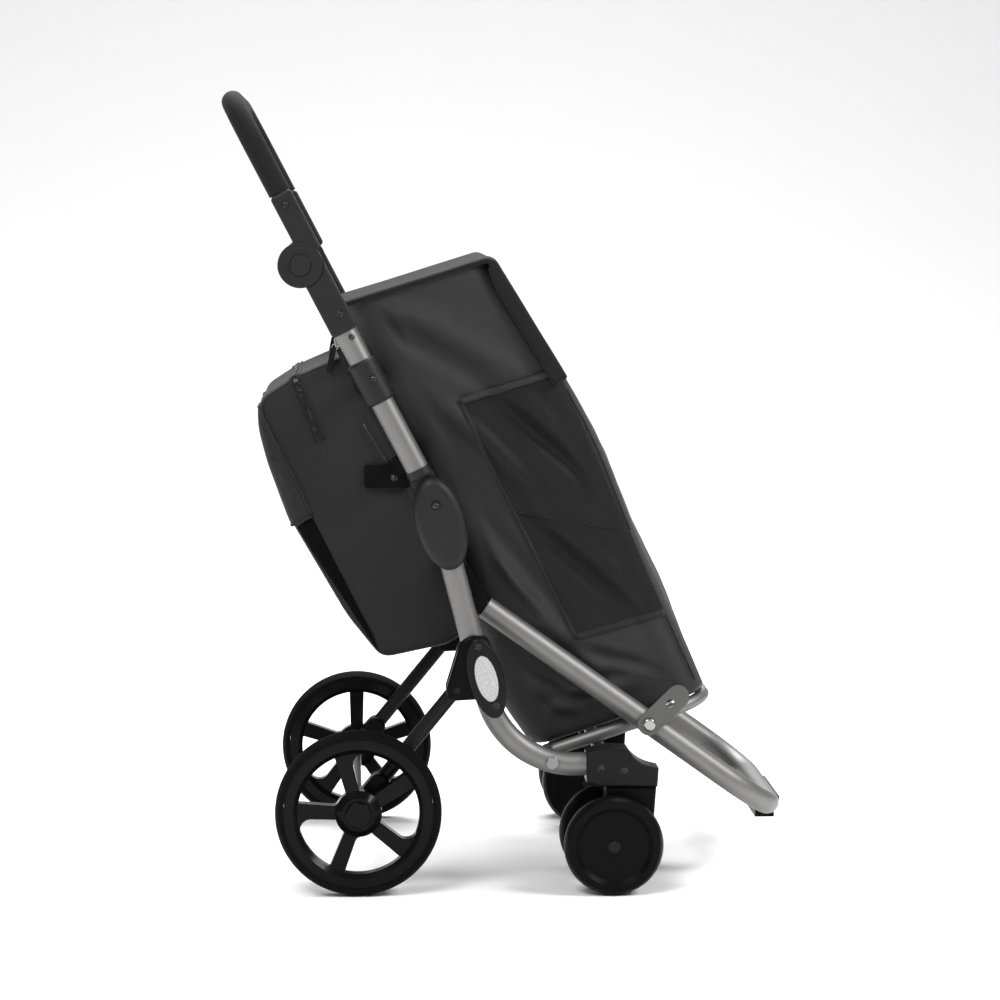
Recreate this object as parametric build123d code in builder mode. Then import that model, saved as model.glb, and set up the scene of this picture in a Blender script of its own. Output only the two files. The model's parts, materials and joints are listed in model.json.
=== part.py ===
from build123d import *
import os
from math import atan2, cos, degrees, hypot, radians, sin, sqrt, tan

# Folding four-wheel shopping trolley, in millimetres. +X is forward, +Z is up, the right-hand side is at -Y.
# A side view point is (x, z): x forward from the rear axle, z up from the floor.
# A width is the distance to the right of the middle plane.

# Main tubes
tube_d = 28.0
tube_wall = 1.5
tube_width = 208.0
seat_gap = 0.2
turn_gap = 0.4

# Fold joint
fold_pivot = (94.0, 469.0)
fold_turn = 140.0
mast_lean = 62.5
stem_lean = 75.3
housing_length = 116.0
housing_breadth = 60.0
housing_drop = 24.0
housing_thickness = 42.0
housing_round = 12.0
socket_top = 40.0
slot_floor = 34.0
tongue_r = 22.0
tongue_thickness = 14.0
shaft_d = 12.0
collar_foot = 38.0
collar_d = 31.0
spigot_length = 38.0

# Fold lever, which draws the foot loop back
lever_tip = (118.5, 395.0)
lever_breadth = 26.0
lever_thickness = 6.0
lever_stub_d = 11.0

# Upper tube and what is clamped on it
tube_foot = 47.0
tube_head = 274.0
sleeve_foot = 138.0
sleeve_head = 193.0
sleeve_d = 36.0
sleeve_edge = 3.0
cross_bar_d = 16.0
bracket_outline = ((76.0, 56.0), (52.0, 69.0), (25.0, 19.0), (53.0, 11.0))
bracket_corner = 4.0
bracket_plate = 5.0
saddle_foot = 50.0
saddle_head = 68.0
saddle_back = 23.0

# Handle hubs
hub_along = 326.7
hub_back = 10.3
hub_d = 54.0
hub_thickness = 36.0
hub_pin_d = 14.0
hub_edge = 3.0
hub_proud = 1.5
hub_rim = 1.2
socket_foot = 231.7
socket_rise = 6.0
socket_breadth = 33.0
socket_shoulder = 10.0
button_d = 25.0
button_travel = 3.0
button_body = 9.5
button_edge = 2.0

# Handle
handle_front = 8.0
handle_reach = 536.0
handle_bend = 62.0
handle_tube_d = 22.0
handle_wall = 1.5
handle_insert = 48.0
grip_foot = 413.0
grip_d = 27.0
arm_breadth = 27.0
arm_corner = 5.0

# Chassis tube
deck_height = 151.5
stem_bend = 110.0
tube_front = 322.0

# Leg bracket and reflector
bracket_top = 185.0
bracket_bottom = 221.0
bracket_r = 21.0
ear_r = 13.0
collar_wall = 3.0
bracket_edge = 4.0
cup_along = 217.0
cup_front = 5.0
cup_length = 99.0
cup_breadth = 43.0
cup_depth = 7.0
cup_edge = 3.0
lens_length = 57.0
lens_breadth = 26.0
lens_depth = 3.0

# Rear legs and axle
leg_lean = 50.7
leg_length = 188.0
leg_d = 18.0
leg_wall = 1.5
leg_start = 26.0
leg_pin_d = 8.0
shoe_reach = 40.0
shoe_r = 12.5
shoe_thickness = 28.0
axle_d = 10.0

# Rear wheels
wheel_r = 100.0
wheel_offset = 30.0
tyre_breadth = 32.0
tyre_seat_r = 90.0
tyre_shoulder = 5.0
rim_breadth = 26.0
window_r = 73.0
spoke_count = 5
spoke_thickness = 16.0
spoke_root = 15.0
spoke_tip = 20.0
spoke_turn_right = 33.0
spoke_turn_left = 90.0
window_round = 13.0
window_foot_round = 7.0
hub_r = 20.0
cap_r = 16.0
cap_height = 5.0

# Casters
caster_r = 60.0
caster_breadth = 27.0
caster_spread = 43.0
caster_x = 306.0
swivel_x = 338.0
fork_thickness = 36.0
fork_drop = 25.9
fork_front = 360.0
skirt_front = 357.0
skirt_foot = 84.0
boss_r = 15.0
fork_edge = 4.0
king_pin_d = 12.0
king_pin_length = 22.0
caster_axle_d = 8.0
caster_head_d = 15.0
caster_head = 2.5
caster_dish = 5.0
caster_tread = 13.0
caster_hub_r = 12.0

# Caster housings and the cross tube between them
case_rear = 275.0
case_rise = 22.0
case_crown_x = 303.0
case_shoulder_x = 325.0
case_step_x = 352.0
case_front = 362.5
case_thickness = 40.0
case_edge = 6.0
cross_tube_d = 16.0
cross_tube_x = 300.0

# Base loop
base_pivot_x = 234.0
base_d = 16.0
base_wall = 1.5
base_inset = 68.0
base_reach = 206.0
base_bend = 50.0
eye_r = 7.6
eye_thickness = 12.0
plug_length = 24.0
rivet_d = 8.0
rivet_head_d = 16.0
rivet_head = 3.0
spacer_d = 14.0

# Foot loop
loop_top = (155.0, 338.0)
loop_lean = 35.64
loop_reach = 439.3
loop_inset = 44.0
loop_bend = 72.0
knuckle_r = 14.0
knuckle_thickness = 25.6
link_along = 246.0
bolt_d = 8.0
bolt_head_d = 15.0
bolt_head = 4.5
pad_r = 18.5
pad_half = 70.0
pad_drop = 25.0
pad_breadth = 24.0

# Strap plates
strap_thickness = 3.0
strap_breadth = 28.0
strap_angle = 44.0
strap_reach = 48.5
strap_hole_along = 35.6
strap_hole_d = 11.0

# Main bag
bag_wall = 4.0
bag_corner = 34.0
bag_floor_rear = -8.0
bag_floor_front = 210.0
bag_belly_rear = (176.0, 232.0)
bag_belly_front = (407.0, 283.0)
bag_belly_inset = 67.0
bag_waist_tilt = -10.0
bag_waist_rear = 11.0
bag_waist_front = 252.0
bag_waist_inset = 61.0
bag_chest_rear = (33.6, 606.7)
bag_chest_front = (261.0, 600.0)
bag_chest_inset = 42.0
bag_top_rear = (-17.7, 705.1)
bag_top_front = (163.0, 761.0)
bag_top_inset = 36.0
bag_gap = 0.3

# Lid of the main bag
lid_thickness = 5.0
lid_bead_r = 5.0
lid_gap = 0.5
flap_share = 0.9

# Rear bag
pouch_inset = 60.0
pouch_front = ((-164.0, 40.0), (-100.0, 14.0), (207.0, 10.0))
pouch_top = ((212.0, 80.0), (207.0, 132.0))
pouch_rear = ((175.0, 148.0), (132.0, 159.0), (55.0, 171.0), (-78.0, 164.0), (-146.0, 150.0), (-170.0, 66.0))
pouch_round = 12.0
pouch_edge = 10.0
pouch_wall = 5.0


def ray(start, angle, distance, left=0.0):
    """The side view point at a distance along a direction, then moved to the left of that direction."""
    a = radians(angle)
    x = start[0] + distance * cos(a) - left * sin(a)
    z = start[1] + distance * sin(a) + left * cos(a)
    return (x, z)


def heading(start, end):
    """The angle of the side view line from one point to another."""
    return degrees(atan2(end[1] - start[1], end[0] - start[0]))


mast_angle = 180.0 - mast_lean
stem_angle = -stem_lean
loop_angle = -loop_lean


def mast(along, back=0.0):
    return ray(fold_pivot, mast_angle, along, back)


def stem(along, front=0.0):
    return ray(fold_pivot, stem_angle, along, front)


def loop(along, up=0.0):
    return ray(loop_top, loop_angle, along, up)


# Places worked out from the driving sizes
wheel_centre = (0.0, wheel_r)
caster_centre = (caster_x, caster_r)
leg_pivot = ray(wheel_centre, leg_lean, leg_length)
hub_centre = mast(hub_along, hub_back)
handle_bar = mast(handle_reach, -handle_front)
loop_bar = loop(loop_reach)
link_pivot = loop(link_along)
stem_run = (fold_pivot[1] - deck_height) / sin(radians(stem_lean))
stem_corner = stem(stem_run)
bend_tangent = stem_bend * tan(radians(stem_lean / 2))
bend_centre = (stem_corner[0] + bend_tangent, deck_height + stem_bend)
base_rise = sqrt(stem_bend**2 - (bend_centre[0] - base_pivot_x) ** 2)
base_pivot = (base_pivot_x, bend_centre[1] - base_rise)
base_angle = heading(base_pivot, link_pivot)
origin_x = (loop_bar[0] + pad_r + handle_bar[0] - grip_d / 2) / 2
fork_top = deck_height - fork_drop
case_top = deck_height + case_rise

# Widths of what stands inside or outside the main tubes
housing_inner = tube_width - housing_thickness / 2
housing_outer = tube_width + housing_thickness / 2
wheel_width = tube_width + wheel_offset
base_width = tube_width - base_inset
loop_width = tube_width - loop_inset
bag_floor_half = base_width
bag_belly_half = tube_width - bag_belly_inset
bag_waist_half = tube_width - bag_waist_inset
bag_chest_half = tube_width - bag_chest_inset
bag_top_half = tube_width - bag_top_inset
pouch_half = tube_width - pouch_inset


def base(along, up=0.0):
    return ray(base_pivot, base_angle, along, up)


def spot(point, width=0.0):
    """A side view point at a width, in the part's own frame."""
    return Vector(point[0] - origin_x, -width, point[1])


def side_plane(width):
    """Side view plane at a width, with its normal to the right."""
    return Plane((-origin_x, -width, 0), x_dir=(1, 0, 0), z_dir=(0, -1, 0))


def ray_plane(start, angle, width):
    """Side view plane at a width whose local x runs from a point along a direction."""
    a = radians(angle)
    return Plane(spot(start, width), x_dir=(cos(a), 0, sin(a)), z_dir=(0, -1, 0))


def cross_plane(point, angle, width):
    """Plane square to a side view direction, for the section of a tube."""
    a = radians(angle)
    return Plane(spot(point, width), x_dir=(0, 1, 0), z_dir=(cos(a), 0, sin(a)))


def loop_plane(start, angle):
    """Plane of a bent loop: local x along a side view direction, local y across the trolley."""
    a = radians(angle)
    return Plane(spot(start), x_dir=(cos(a), 0, sin(a)), z_dir=(-sin(a), 0, cos(a)))


def wheel_plane(centre, width):
    """Section plane through a wheel: local x to the right along its axle, local y up."""
    return Plane(spot(centre, width), x_dir=(0, -1, 0), z_dir=(-1, 0, 0))


def round_face(point, diameter, width):
    """A circle in the side view, at a width."""
    with BuildSketch(side_plane(width)) as profile:
        with Locations(point):
            Circle(diameter / 2)
    return profile.sketch


def hull_face(width, *circles):
    """The outline around circles (x, z, radius) in the side view, at a width."""
    with BuildSketch(side_plane(width)) as profile:
        for x, z, radius in circles:
            with Locations((x, z)):
                Circle(radius)
        make_hull()
    return profile.sketch


def ring_face(plane, outer_d, inner_d):
    """The section of a tube."""
    with BuildSketch(plane) as profile:
        Circle(outer_d / 2)
        Circle(inner_d / 2, mode=Mode.SUBTRACT)
    return profile.sketch


def disc_face(plane, diameter):
    """The section of a rod or a bore."""
    with BuildSketch(plane) as profile:
        Circle(diameter / 2)
    return profile.sketch


nodes = {}


def keep(builder, name):
    """Gives a finished piece its name."""
    builder.part.label = name
    nodes[name] = builder.part


def keep_pair(builder, name):
    """Keeps a right-hand piece and its mirror image on the left."""
    with BuildPart() as other:
        mirror(builder.part, about=Plane.XZ)
    keep(builder, f"{name}_right")
    keep(other, f"{name}_left")


def keep_both(builder, name):
    """Keeps a right-hand piece and its mirror image as one group."""
    with BuildPart() as group:
        add(builder.part)
        mirror(builder.part, about=Plane.XZ)
    keep(group, name)


# Chassis tube, from the fold housing down and forward to the caster housing
with BuildPart() as chassis_tube:
    with BuildLine(side_plane(tube_width)) as chassis_path:
        FilletPolyline(stem(socket_top), stem_corner, (tube_front, deck_height), radius=stem_bend)
    sweep(
        ring_face(cross_plane(stem(socket_top), stem_angle, tube_width), tube_d, tube_d - 2 * tube_wall),
        path=chassis_path.line,
    )
    bore_start = tube_width - tube_d
    extrude(round_face(base_pivot, rivet_d + 2 * seat_gap, bore_start), amount=2 * tube_d, mode=Mode.SUBTRACT)
keep_pair(chassis_tube, "chassis_tube")

# Upper tube
with BuildPart() as upper_tube:
    extrude(
        ring_face(cross_plane(mast(tube_foot), mast_angle, tube_width), tube_d, tube_d - 2 * tube_wall),
        amount=tube_head - tube_foot,
    )
keep_pair(upper_tube, "upper_tube")

# Fold housing: an oval shell with a slot for the tongue, room for the folded collar and a socket below
with BuildPart() as fold_housing:
    with BuildSketch(ray_plane(fold_pivot, stem_angle, housing_inner)):
        with Locations((housing_drop, 0)):
            Ellipse(housing_length / 2, housing_breadth / 2)
    extrude(amount=housing_thickness)
    fillet(fold_housing.faces().filter_by(Axis.Y).edges(), housing_round)
    with BuildSketch(ray_plane(fold_pivot, stem_angle, tube_width)):
        with Locations((slot_floor - housing_length / 2, 0)):
            Rectangle(housing_length, 2 * housing_breadth)
    extrude(amount=tongue_thickness / 2 + turn_gap, both=True, mode=Mode.SUBTRACT)
    collar_room = collar_d / 2 + turn_gap
    with BuildSketch(ray_plane(fold_pivot, mast_angle - fold_turn, tube_width)):
        with Locations((0, housing_length - collar_room)):
            Rectangle(4 * housing_length, 2 * housing_length)
        Circle(collar_foot - turn_gap, mode=Mode.SUBTRACT)
    extrude(amount=collar_room, both=True, mode=Mode.SUBTRACT)
    extrude(
        disc_face(cross_plane(stem(socket_top), stem_angle, tube_width), tube_d + 2 * seat_gap),
        amount=housing_length,
        mode=Mode.SUBTRACT,
    )
    extrude(
        round_face(fold_pivot, shaft_d + 2 * seat_gap, housing_inner),
        amount=housing_thickness,
        mode=Mode.SUBTRACT,
    )
keep_pair(fold_housing, "fold_housing")

# Fold knuckle: tongue in the housing, collar under the upper tube and spigot inside it
with BuildPart() as fold_knuckle:
    with BuildSketch(ray_plane(fold_pivot, mast_angle, tube_width)):
        Circle(tongue_r)
        with Locations((collar_foot / 2, 0)):
            Rectangle(collar_foot, collar_d)
    extrude(amount=tongue_thickness / 2, both=True)
    extrude(
        disc_face(cross_plane(mast(collar_foot), mast_angle, tube_width), collar_d),
        amount=tube_foot - collar_foot,
    )
    extrude(
        disc_face(
            cross_plane(mast(tube_foot), mast_angle, tube_width),
            tube_d - 2 * tube_wall - 2 * seat_gap,
        ),
        amount=spigot_length,
    )
    extrude(
        round_face(fold_pivot, shaft_d + 2 * seat_gap, housing_inner),
        amount=housing_thickness,
        mode=Mode.SUBTRACT,
    )
keep_pair(fold_knuckle, "fold_knuckle")

# Fold lever with the shaft that turns in the housing, and a stub at its tip
lever_outer = housing_inner - turn_gap
lever_inner = lever_outer - lever_thickness
lever_angle = heading(fold_pivot, lever_tip)
lever_span = hypot(lever_tip[0] - fold_pivot[0], lever_tip[1] - fold_pivot[1])
with BuildPart() as fold_lever:
    with BuildSketch(ray_plane(fold_pivot, lever_angle, lever_inner)):
        with Locations((lever_span / 2, 0)):
            SlotCenterToCenter(lever_span, lever_breadth)
    extrude(amount=lever_thickness)
    extrude(round_face(fold_pivot, shaft_d, lever_inner), amount=housing_outer - lever_inner)
    stub_inner = loop_width + knuckle_thickness / 2 + turn_gap
    extrude(round_face(lever_tip, lever_stub_d, stub_inner), amount=lever_inner - stub_inner)
keep_pair(fold_lever, "fold_lever")

# Sleeves clamped on the upper tubes
with BuildPart() as bag_sleeve:
    extrude(
        ring_face(cross_plane(mast(sleeve_foot), mast_angle, tube_width), sleeve_d, tube_d + 2 * seat_gap),
        amount=sleeve_head - sleeve_foot,
    )
    sleeve_rims = bag_sleeve.edges().filter_by(GeomType.CIRCLE).group_by(SortBy.RADIUS)[-1]
    chamfer(sleeve_rims, sleeve_edge)
keep_both(bag_sleeve, "bag_sleeves")

# Cross bar between the sleeves
cross_bar_half = tube_width - sleeve_d / 2 - seat_gap
cross_bar_point = mast((sleeve_foot + sleeve_head) / 2)
with BuildPart() as upper_cross_bar:
    extrude(round_face(cross_bar_point, cross_bar_d, 0), amount=cross_bar_half, both=True)
keep(upper_cross_bar, "upper_cross_bar")

# Brackets on the upper tubes that carry the rear bag
bracket_inner = pouch_half + bag_gap
with BuildPart() as bag_bracket:
    with BuildSketch(ray_plane(fold_pivot, mast_angle, bracket_inner)) as bracket_side:
        with BuildLine():
            Polyline(*bracket_outline, close=True)
        make_face()
        fillet(bracket_side.vertices(), bracket_corner)
    extrude(amount=bracket_plate)
    with BuildSketch(ray_plane(fold_pivot, mast_angle, bracket_inner)):
        with Locations(((saddle_foot + saddle_head) / 2, saddle_back / 2)):
            Rectangle(saddle_head - saddle_foot, saddle_back)
    extrude(amount=tube_width - bracket_inner)
    extrude(
        disc_face(cross_plane(mast(0), mast_angle, tube_width), tube_d + 2 * seat_gap),
        amount=tube_head,
        mode=Mode.SUBTRACT,
    )
keep_both(bag_bracket, "rear_bag_brackets")


def bar_face(width, foot, head, front, breadth, foot_round, head_round):
    """A bar along the mast with rounded corners in the side view, at a width."""
    with BuildSketch(ray_plane(fold_pivot, mast_angle, width)) as profile:
        with Locations(((foot + head) / 2, -front)):
            Rectangle(head - foot, breadth)
        fillet(profile.vertices().group_by(Axis.X)[0], foot_round)
        fillet(profile.vertices().group_by(Axis.X)[-1], head_round)
    return profile.sketch


# Hub socket: holds the upper tube below and the inner half of the hub above
hub_inner = tube_width - hub_thickness / 2
hub_outer = tube_width + hub_thickness / 2
hub_clear = hub_d + 4 * turn_gap
socket_head = hub_along + socket_rise
with BuildPart() as hub_socket:
    extrude(
        bar_face(
            hub_inner + hub_proud, socket_foot, socket_head, 0, socket_breadth, arm_corner, socket_shoulder
        ),
        amount=hub_thickness - 2 * hub_proud,
    )
    fillet(hub_socket.faces().filter_by(Axis.Y).edges(), hub_edge)
    extrude(
        round_face(hub_centre, hub_clear, tube_width - turn_gap / 2),
        amount=hub_thickness,
        mode=Mode.SUBTRACT,
    )
    extrude(round_face(hub_centre, hub_d, hub_inner), amount=hub_thickness / 2 - turn_gap / 2)
    fillet(hub_socket.faces().sort_by(Axis.Y)[-1].edges(), hub_rim)
    extrude(
        disc_face(cross_plane(mast(socket_foot), mast_angle, tube_width), tube_d + 2 * seat_gap),
        amount=tube_head - socket_foot + seat_gap,
        mode=Mode.SUBTRACT,
    )
    extrude(
        round_face(hub_centre, hub_pin_d + 2 * seat_gap, hub_inner),
        amount=hub_thickness,
        mode=Mode.SUBTRACT,
    )
keep_pair(hub_socket, "hub_socket")

# Handle hub: outer half of the hub, with the pocket of the push button, and the arm up to the grip
handle_foot = grip_foot - handle_insert
button_pocket = button_body + button_travel + turn_gap
with BuildPart() as handle_hub:
    extrude(
        bar_face(
            hub_inner + hub_proud, socket_head, grip_foot, handle_front, arm_breadth, arm_corner, arm_corner
        ),
        amount=hub_thickness - 2 * hub_proud,
    )
    fillet(handle_hub.faces().filter_by(Axis.Y).edges(), hub_edge)
    extrude(
        round_face(hub_centre, hub_clear, hub_inner),
        amount=hub_thickness / 2 + turn_gap / 2,
        mode=Mode.SUBTRACT,
    )
    extrude(
        round_face(hub_centre, hub_d, tube_width + turn_gap / 2),
        amount=hub_thickness / 2 - turn_gap / 2,
    )
    fillet(handle_hub.faces().sort_by(Axis.Y)[0].edges(), hub_rim)
    extrude(
        disc_face(
            cross_plane(mast(handle_foot, -handle_front), mast_angle, tube_width),
            handle_tube_d + 2 * seat_gap,
        ),
        amount=2 * handle_insert,
        mode=Mode.SUBTRACT,
    )
    extrude(round_face(hub_centre, hub_pin_d, hub_inner), amount=hub_thickness / 2 + turn_gap)
    extrude(
        round_face(hub_centre, button_d + 2 * turn_gap, hub_outer - button_pocket),
        amount=button_pocket,
        mode=Mode.SUBTRACT,
    )
keep_pair(handle_hub, "handle_hub")

# Push button in the hub
with BuildPart() as hub_button:
    extrude(
        round_face(hub_centre, button_d, hub_outer - button_body),
        amount=button_body + button_travel,
    )
    fillet(hub_button.faces().sort_by(Axis.Y)[0].edges(), button_edge)
keep_pair(hub_button, "hub_button")


def u_path(reach, half, start, bend):
    """The middle line of a U-shaped tube, in its loop plane."""
    return FilletPolyline((start, -half), (reach, -half), (reach, half), (start, half), radius=bend)


# Handle tube and the foam grip on it
handle_plane = loop_plane(mast(0, -handle_front), mast_angle)
with BuildPart() as handle_tube:
    with BuildLine(handle_plane) as handle_path:
        u_path(handle_reach, tube_width, handle_foot + seat_gap, handle_bend)
    sweep(
        ring_face(
            cross_plane(mast(handle_foot + seat_gap, -handle_front), mast_angle, tube_width),
            handle_tube_d,
            handle_tube_d - 2 * handle_wall,
        ),
        path=handle_path.line,
    )
keep(handle_tube, "handle_tube")

with BuildPart() as handle_grip:
    with BuildLine(handle_plane) as grip_path:
        u_path(handle_reach, tube_width, grip_foot + seat_gap, handle_bend)
    sweep(
        ring_face(
            cross_plane(mast(grip_foot + seat_gap, -handle_front), mast_angle, tube_width),
            grip_d,
            handle_tube_d + 2 * seat_gap,
        ),
        path=grip_path.line,
    )
keep(handle_grip, "handle_grip")

# Leg bracket: a collar on the chassis tube with two ears for the rear leg
with BuildPart() as leg_bracket:
    extrude(
        hull_face(
            housing_inner,
            (*stem(bracket_top), bracket_r),
            (*stem(bracket_bottom), bracket_r),
            (*leg_pivot, ear_r),
        ),
        amount=housing_thickness,
    )
    fillet(leg_bracket.faces().filter_by(Axis.Y).edges(), bracket_edge)
    slot_face = tube_d / 2 + collar_wall
    with BuildSketch(ray_plane(fold_pivot, stem_angle, tube_width)):
        with Locations(((bracket_top + bracket_bottom) / 2, -slot_face - leg_length / 2)):
            Rectangle(leg_length, leg_length)
    extrude(amount=leg_d / 2 + turn_gap, both=True, mode=Mode.SUBTRACT)
    extrude(
        disc_face(cross_plane(stem(0), stem_angle, tube_width), tube_d + 2 * seat_gap),
        amount=2 * bracket_bottom,
        mode=Mode.SUBTRACT,
    )
    extrude(
        round_face(leg_pivot, leg_pin_d + 2 * seat_gap, housing_inner),
        amount=housing_thickness,
        mode=Mode.SUBTRACT,
    )
keep_pair(leg_bracket, "leg_bracket")

# Reflector cups on the brackets, and their lenses
cup_point = stem(cup_along, cup_front)
with BuildPart() as reflector_cup:
    with BuildSketch(ray_plane(cup_point, stem_angle, housing_outer + seat_gap)):
        Ellipse(cup_length / 2, cup_breadth / 2)
    extrude(amount=cup_depth)
    fillet(reflector_cup.faces().sort_by(Axis.Y)[0].edges(), cup_edge)
    cup_face = housing_outer + seat_gap + cup_depth
    with BuildSketch(ray_plane(cup_point, stem_angle, cup_face - lens_depth)):
        Ellipse(lens_length / 2 + seat_gap, lens_breadth / 2 + seat_gap)
    extrude(amount=lens_depth, mode=Mode.SUBTRACT)
keep_both(reflector_cup, "reflector_cups")

with BuildPart() as reflector_lens:
    with BuildSketch(ray_plane(cup_point, stem_angle, cup_face - lens_depth + seat_gap)):
        Ellipse(lens_length / 2, lens_breadth / 2)
    extrude(amount=lens_depth)
    fillet(reflector_lens.faces().sort_by(Axis.Y)[0].edges(), lens_depth / 3)
keep_both(reflector_lens, "reflector_lenses")

# Rear leg tube, flat shoes at its foot and the axle through both shoes
with BuildPart() as rear_leg:
    extrude(
        ring_face(
            cross_plane(ray(wheel_centre, leg_lean, leg_start), leg_lean, tube_width),
            leg_d,
            leg_d - 2 * leg_wall,
        ),
        amount=leg_length - leg_start,
    )
    with Locations(spot(leg_pivot, tube_width)):
        Sphere(leg_d / 2)
    extrude(
        round_face(leg_pivot, leg_pin_d + 2 * seat_gap, housing_inner),
        amount=housing_thickness,
        mode=Mode.SUBTRACT,
    )
keep_pair(rear_leg, "rear_leg")

with BuildPart() as leg_shoe:
    shoe_inner = tube_width - shoe_thickness / 2
    shoe_top = ray(wheel_centre, leg_lean, shoe_reach)
    extrude(hull_face(shoe_inner, (*wheel_centre, shoe_r), (*shoe_top, shoe_r)), amount=shoe_thickness)
    fillet(leg_shoe.faces().filter_by(Axis.Y).edges(), bracket_edge)
    extrude(
        disc_face(
            cross_plane(ray(wheel_centre, leg_lean, leg_start - seat_gap), leg_lean, tube_width),
            leg_d + 2 * seat_gap,
        ),
        amount=leg_length,
        mode=Mode.SUBTRACT,
    )
    extrude(
        round_face(wheel_centre, axle_d + 2 * seat_gap, shoe_inner),
        amount=shoe_thickness,
        mode=Mode.SUBTRACT,
    )
keep_both(leg_shoe, "leg_shoes")

axle_half = wheel_width + rim_breadth / 2
with BuildPart() as rear_axle:
    extrude(round_face(wheel_centre, axle_d, 0), amount=axle_half, both=True)
    chamfer(rear_axle.edges().filter_by(GeomType.CIRCLE), seat_gap * 4)
keep(rear_axle, "rear_axle")

# Rear wheel: spoked rim, tyre and hub cap
wheel_axis = Axis(spot(wheel_centre, wheel_width), (0, -1, 0))
hub_face_in = tube_width + shoe_thickness / 2 + turn_gap - wheel_width
hub_face_out = rim_breadth / 2 + cap_height / 2
rim_seat_r = tyre_seat_r - seat_gap


def spoked_rim(first_spoke):
    """A rim with flared spokes, the first of them at an angle above forward."""
    with BuildPart() as rim:
        with BuildSketch(wheel_plane(wheel_centre, wheel_width)):
            with BuildLine():
                Polyline(
                    (hub_face_in, axle_d / 2 + turn_gap),
                    (hub_face_in, hub_r),
                    (-spoke_thickness / 2, hub_r + spoke_thickness / 2),
                    (-spoke_thickness / 2, window_r),
                    (-rim_breadth / 2, window_r + spoke_thickness / 3),
                    (-rim_breadth / 2, rim_seat_r),
                    (rim_breadth / 2, rim_seat_r),
                    (rim_breadth / 2, window_r + spoke_thickness / 3),
                    (spoke_thickness / 2, window_r),
                    (spoke_thickness / 2, hub_r + spoke_thickness / 2),
                    (hub_face_out, hub_r),
                    (hub_face_out, axle_d / 2 + turn_gap),
                    close=True,
                )
            make_face()
        revolve(axis=wheel_axis)
        with BuildSketch(side_plane(wheel_width)) as windows:
            with Locations(wheel_centre):
                Circle(window_r)
                Circle(hub_r + spoke_thickness / 2, mode=Mode.SUBTRACT)
            with Locations(wheel_centre):
                with PolarLocations(0, spoke_count, start_angle=first_spoke):
                    Polygon(
                        (0, -spoke_root / 2),
                        (window_r + spoke_root, -spoke_tip / 2),
                        (window_r + spoke_root, spoke_tip / 2),
                        (0, spoke_root / 2),
                        align=None,
                        mode=Mode.SUBTRACT,
                    )
            window_mid = (window_r + hub_r) / 2
            for corner in windows.vertices():
                is_foot = hypot(corner.X - wheel_centre[0], corner.Y - wheel_centre[1]) < window_mid
                fillet(corner, window_foot_round if is_foot else window_round)
        extrude(amount=tyre_breadth, both=True, mode=Mode.SUBTRACT)
    return rim


for side, first_spoke in (("right", spoke_turn_right), ("left", spoke_turn_left)):
    rim = spoked_rim(first_spoke)
    if side == "left":
        with BuildPart() as mirrored_rim:
            mirror(rim.part, about=Plane.XZ)
        rim = mirrored_rim
    keep(rim, f"rear_rim_{side}")

with BuildPart() as rear_tyre:
    with BuildSketch(wheel_plane(wheel_centre, wheel_width)):
        half = tyre_breadth / 2
        with BuildLine():
            Polyline(
                (-half, wheel_r - tyre_shoulder),
                (-half + seat_gap * 5, tyre_seat_r),
                (half - seat_gap * 5, tyre_seat_r),
                (half, wheel_r - tyre_shoulder),
            )
            ThreePointArc((half, wheel_r - tyre_shoulder), (0, wheel_r), (-half, wheel_r - tyre_shoulder))
        make_face()
    revolve(axis=wheel_axis)
keep_pair(rear_tyre, "rear_tyre")

with BuildPart() as hub_cap:
    extrude(
        round_face(wheel_centre, 2 * cap_r, wheel_width + hub_face_out + seat_gap),
        amount=cap_height,
    )
    fillet(hub_cap.faces().sort_by(Axis.Y)[0].edges(), cap_height / 2)
keep_pair(hub_cap, "hub_cap")

# Caster housing on the front end of the chassis tube
case_foot = fork_top + turn_gap
with BuildPart() as caster_housing:
    with BuildSketch(side_plane(tube_width)):
        back_top = (case_rear, case_top - case_edge)
        crown = (case_crown_x, case_top)
        shoulder = (case_shoulder_x, case_top - tube_wall)
        hollow = ((case_shoulder_x + case_step_x) / 2, deck_height + case_edge)
        step = (case_step_x, deck_height - turn_gap)
        nose = (case_front, deck_height - case_edge / 2)
        front_foot = (case_front - tube_wall, case_foot)
        with BuildLine():
            Line((case_rear, case_foot + case_edge), back_top)
            ThreePointArc(back_top, crown, shoulder)
            ThreePointArc(shoulder, hollow, step)
            Polyline(
                step, nose, front_foot, (case_rear + tube_d / 2, case_foot), (case_rear, case_foot + case_edge)
            )
        make_face()
    extrude(amount=case_thickness / 2, both=True)
    fillet(caster_housing.faces().filter_by(Axis.Y).edges(), case_edge / 2)
    extrude(
        disc_face(cross_plane((case_rear, deck_height), 0, tube_width), tube_d + 2 * seat_gap),
        amount=tube_front - case_rear + seat_gap,
        mode=Mode.SUBTRACT,
    )
    extrude(
        disc_face(Plane(spot((swivel_x, case_foot), tube_width)), king_pin_d + 2 * turn_gap),
        amount=king_pin_length + turn_gap,
        mode=Mode.SUBTRACT,
    )
keep_pair(caster_housing, "caster_housing")

# Cross tube between the caster housings
cross_tube_half = tube_width - case_thickness / 2 - seat_gap
with BuildPart() as front_cross_tube:
    extrude(round_face((cross_tube_x, deck_height), cross_tube_d, 0), amount=cross_tube_half, both=True)
keep(front_cross_tube, "front_cross_tube")

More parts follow.
